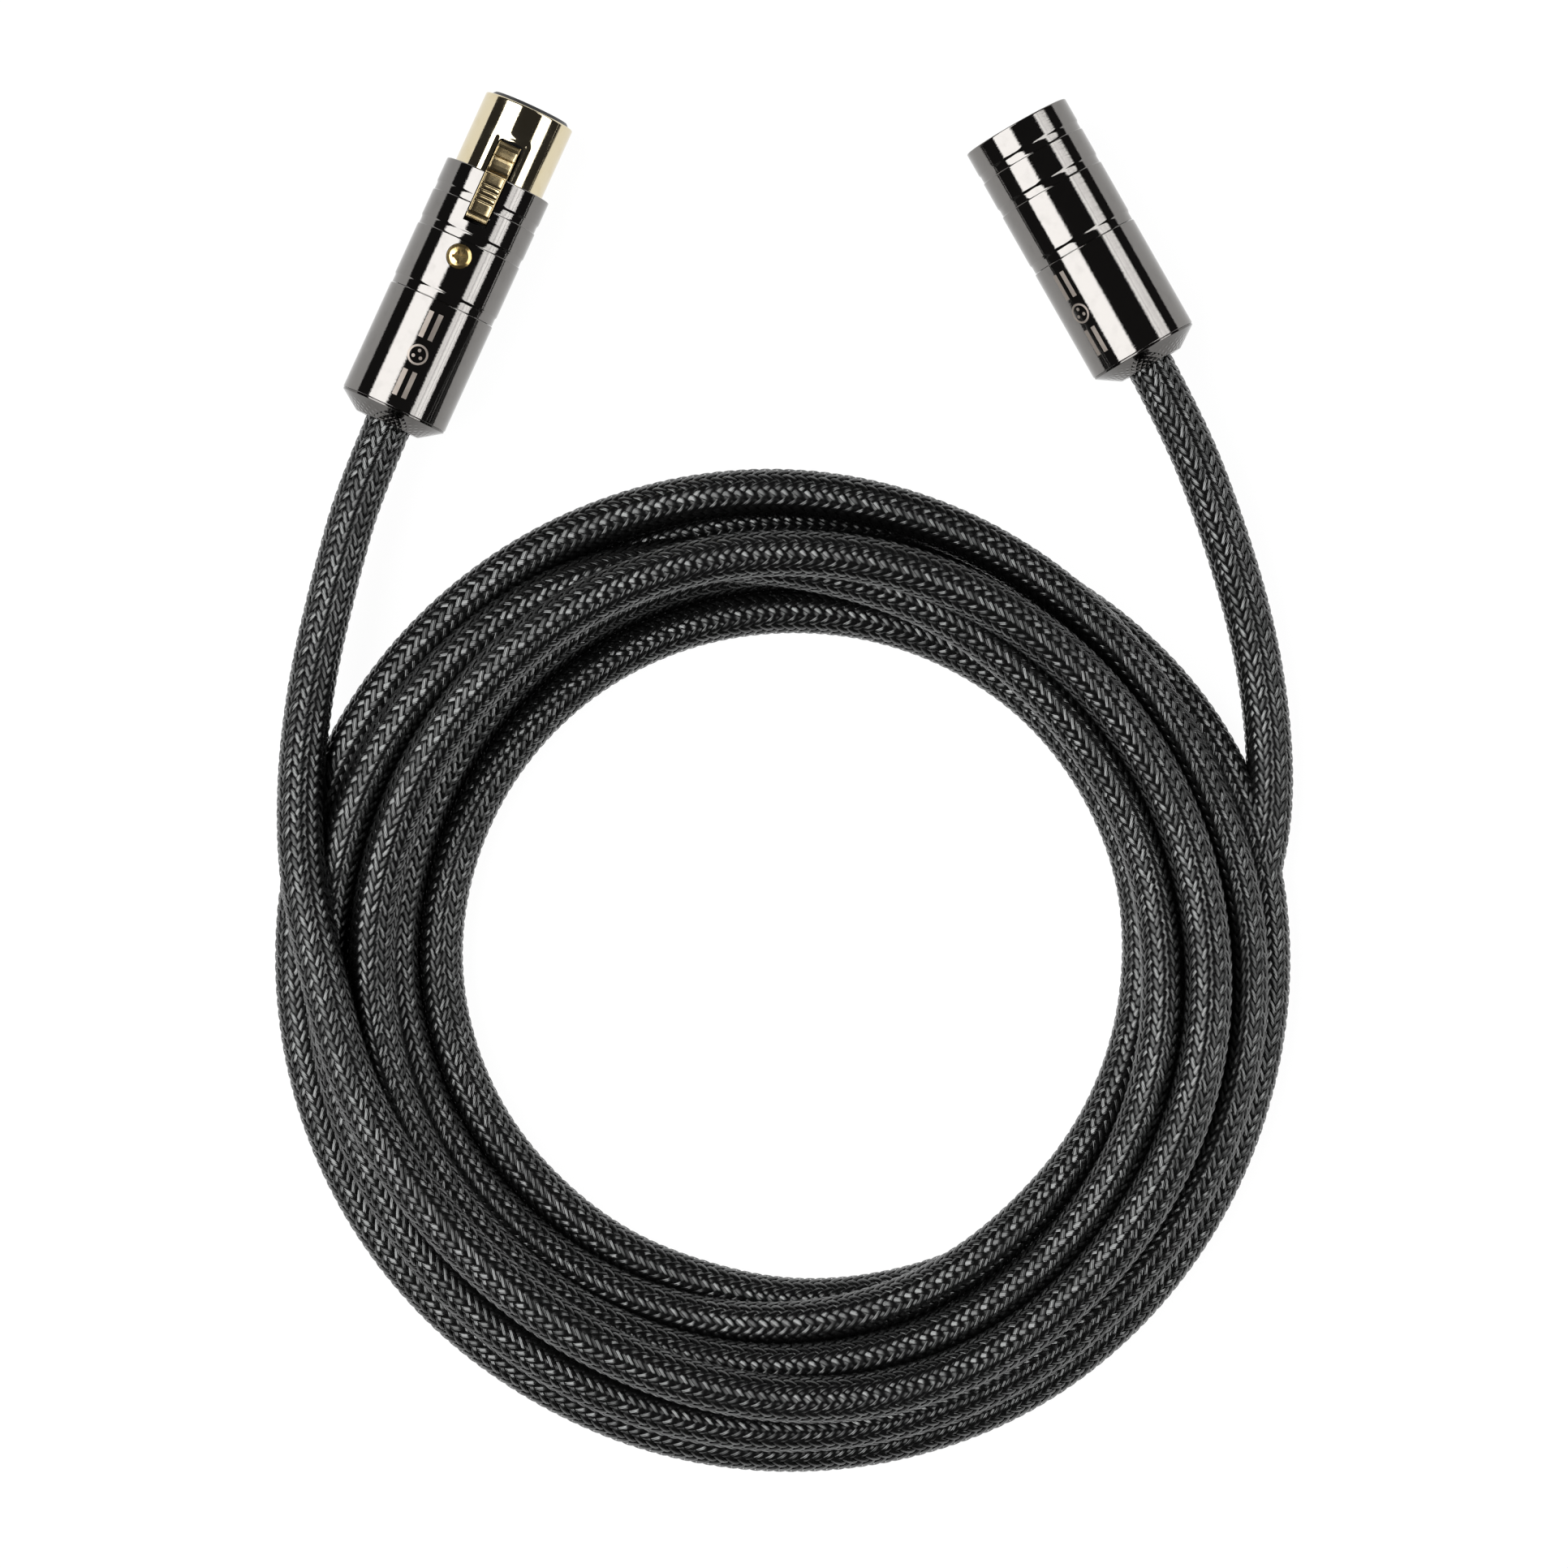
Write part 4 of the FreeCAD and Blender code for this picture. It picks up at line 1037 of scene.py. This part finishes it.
# Where a point lies along the cord, and which of the crossings there its yarn goes over.
across, length_share, _ = node("ShaderNodeSeparateXYZ", {0: ribbon_spot})
backward = maths("GREATER_THAN", yarn, maths("SUBTRACT", yarns, 0.5))
way = times_plus(backward, -2.0, 1.0)
number = maths("SUBTRACT", yarn, times(backward, yarns))
distance = times_plus(maths("ADD", length_share, 0.5), given["Length"], given["Start"])
crossing = maths("DIVIDE", times(distance, times(yarns, 2.0)), lay)
# Quarter turns of the weave: a yarn rises over two crossings, then dips under two.
beat = times_plus(way, crossing, times_plus(backward, -2.0, -0.5))
wave = maths("COSINE", times(times_plus(number, 2.0, beat), math.pi / 2))
lift = maths("MAXIMUM", maths("MINIMUM", times(wave, WEAVE_FLATNESS), 1.0), -1.0)

# The yarn's height over the cord's line, and its slant round it.
sunk = times(maths("POWER", times(across, 2.0), 2.0), given["Crown"])
out = times_plus(lift, given["Weave Depth"], maths("SUBTRACT", sleeve_radius, sunk))
slope = maths("ARCTANGENT", maths("DIVIDE", times(out, 2 * math.pi), lay))
offset = times(across, given["Yarn Width"])
spot_along = maths("SUBTRACT", distance, times(times(way, maths("SINE", slope)), offset))
round_angle = maths(
    "ADD",
    times(way, maths("DIVIDE", times(distance, 2 * math.pi), lay)),
    maths("DIVIDE", times(number, 2 * math.pi), yarns),
)
final_angle = maths("ADD", round_angle, maths("DIVIDE", times(maths("COSINE", slope), offset), out))

# The cord's line at that distance, and the point moved out from it.
sampled = {"Curves": line, "Length": spot_along}
sample = node("GeometryNodeSampleCurve", sampled, mode="LENGTH", use_all_curves=True)
normal = sample["Normal"]
sideways = vector_maths("CROSS_PRODUCT", sample["Tangent"], normal)
outward = vector_maths(
    "ADD",
    vector_maths("SCALE", normal, maths("COSINE", final_angle)),
    vector_maths("SCALE", sideways, maths("SINE", final_angle)),
)
place = vector_maths("ADD", sample["Position"], vector_maths("SCALE", outward, out))
woven = node("GeometryNodeSetPosition", {"Geometry": loose, "Position": place})[0]

# What the material reads, and the result as one plain mesh.
texture_spot = node("ShaderNodeCombineXYZ", {0: maths("ADD", across, 0.5), 1: crossing})[0]
tone = node("FunctionNodeRandomValue", {"ID": yarn, "Seed": given["Seed"]}, data_type="FLOAT")[1]
for label, value, kind, domain in (
    ("UVMap", texture_spot, "FLOAT2", "CORNER"), ("yarn_tone", tone, "FLOAT", "POINT"),
):
    stored = {"Geometry": woven, "Name": label, "Value": value}
    woven = node("GeometryNodeStoreNamedAttribute", stored, data_type=kind, domain=domain)[0]
woven = node("GeometryNodeSetShadeSmooth", {"Geometry": woven, "Shade Smooth": True})[0]
woven = node("GeometryNodeRealizeInstances", {"Geometry": woven})[0]
woven = node("GeometryNodeSetMaterial", {"Geometry": woven, "Material": given["Material"]})[0]
node("NodeGroupOutput", {"Braid": woven})
print("braid tree has", len(braid_tree.nodes), "nodes")

# %% [markdown]
# ## Yarn finish
# A yarn is four glossy black filaments side by side. The UV map's U runs across them, so a wave of U
# makes their bump, and the same wave paints shade into their colour: darker in the grooves between
# them, lighter on their crowns. Each yarn's own tone makes some of them shine more than others.

# %% Yarn material
FILAMENT_DEPTH = 0.000012
filaments, given, made = new_group(
    "filaments", {"Across": 0.5, "Along": 0.0, "Tone": 0.5}, ("Colour", "Roughness", "Normal")
)
across, along, tone = given["Across"], given["Along"], given["Tone"]
filament_wave = times(across, 4 * math.pi)
rounded = maths("ABSOLUTE", maths("SINE", filament_wave))
streak_spot = add_node(filaments, "ShaderNodeCombineXYZ", {
    0: times(across, 4.0), 1: times(along, 0.35), 2: times(tone, 90.0),
})
streak = noise(streak_spot.outputs[0], 1.6, 2)
# Painted shade: the colour is darkest in the grooves between filaments and lightest on their crowns.
shade = times(rounded, times_plus(streak, 0.8, 0.3))
streak_gloss = times_plus(streak, -0.16, 0.2)
feed(made, {
    "Normal": bump(rounded, FILAMENT_DEPTH),
    "Colour": tinted(shade, (0.001, 0.001, 0.001), (0.006, 0.006, 0.006)),
    "Roughness": times_plus(tone, 0.12, streak_gloss),
})

braid_yarn, shader, coordinates = blank_material("braid_yarn")
tree = braid_yarn.node_tree
flat_spot = add_node(tree, "ShaderNodeSeparateXYZ", {0: coordinates["UV"]}).outputs
tone = add_node(tree, "ShaderNodeAttribute", {}, attribute_name="yarn_tone").outputs["Fac"]
inputs = {"Across": flat_spot[0], "Along": flat_spot[1], "Tone": tone}
yarn_look = add_node(tree, "ShaderNodeGroup", inputs, node_tree=filaments).outputs
feed(shader, {
    "Base Color": yarn_look["Colour"], "Roughness": yarn_look["Roughness"],
    "Normal": yarn_look["Normal"], "Specular Tint": (0.98, 1.0, 0.99, 1),
    "Specular IOR Level": ranged(tone, 0.0, 1.0, 1.25, 0.45),
})
print(braid_yarn.name, "reads the UV map and the yarns' own tone")

# %% [markdown]
# ## Braiding the cord
# One mesh for the whole sleeve would be far too heavy, so the cord is covered in eight equal lengths.
# The formula depends only on the distance from the cord's start, so each length takes up the weave
# exactly where the one before it stopped. Each result is kept as a plain mesh without the modifier.

# %% Braid pieces
BRAID_INSET = 0.008
BRAID_PIECES = 8
piece_length = (cord_length - 2 * BRAID_INSET) / BRAID_PIECES
piece_rows = 2 * round(piece_length * 2 * YARNS / LAY)
for order in range(BRAID_PIECES):
    holder = link_new(f"braid_{order + 1}", cord_mesh)
    maker = holder.modifiers.new("braid", "NODES")
    maker.node_group = braid_tree
    for label, value in {
        "Start": BRAID_INSET + order * piece_length, "Length": piece_length, "Rows": piece_rows,
        "Yarns Each Way": YARNS, "Lay": LAY, "Sleeve Radius": SLEEVE_RADIUS,
        "Weave Depth": 0.17 * MM, "Crown": 0.12 * MM, "Yarn Width": 1.02 * MM, "Seed": 7,
        "Material": braid_yarn,
    }.items():
        maker[braid_sockets[label]] = value
    keep_result(holder)
    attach(holder, "cable")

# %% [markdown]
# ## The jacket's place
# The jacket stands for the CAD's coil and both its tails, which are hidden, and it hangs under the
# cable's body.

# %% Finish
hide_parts("female_tail", "male_tail", "coil")
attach(cable_jacket, "cable")
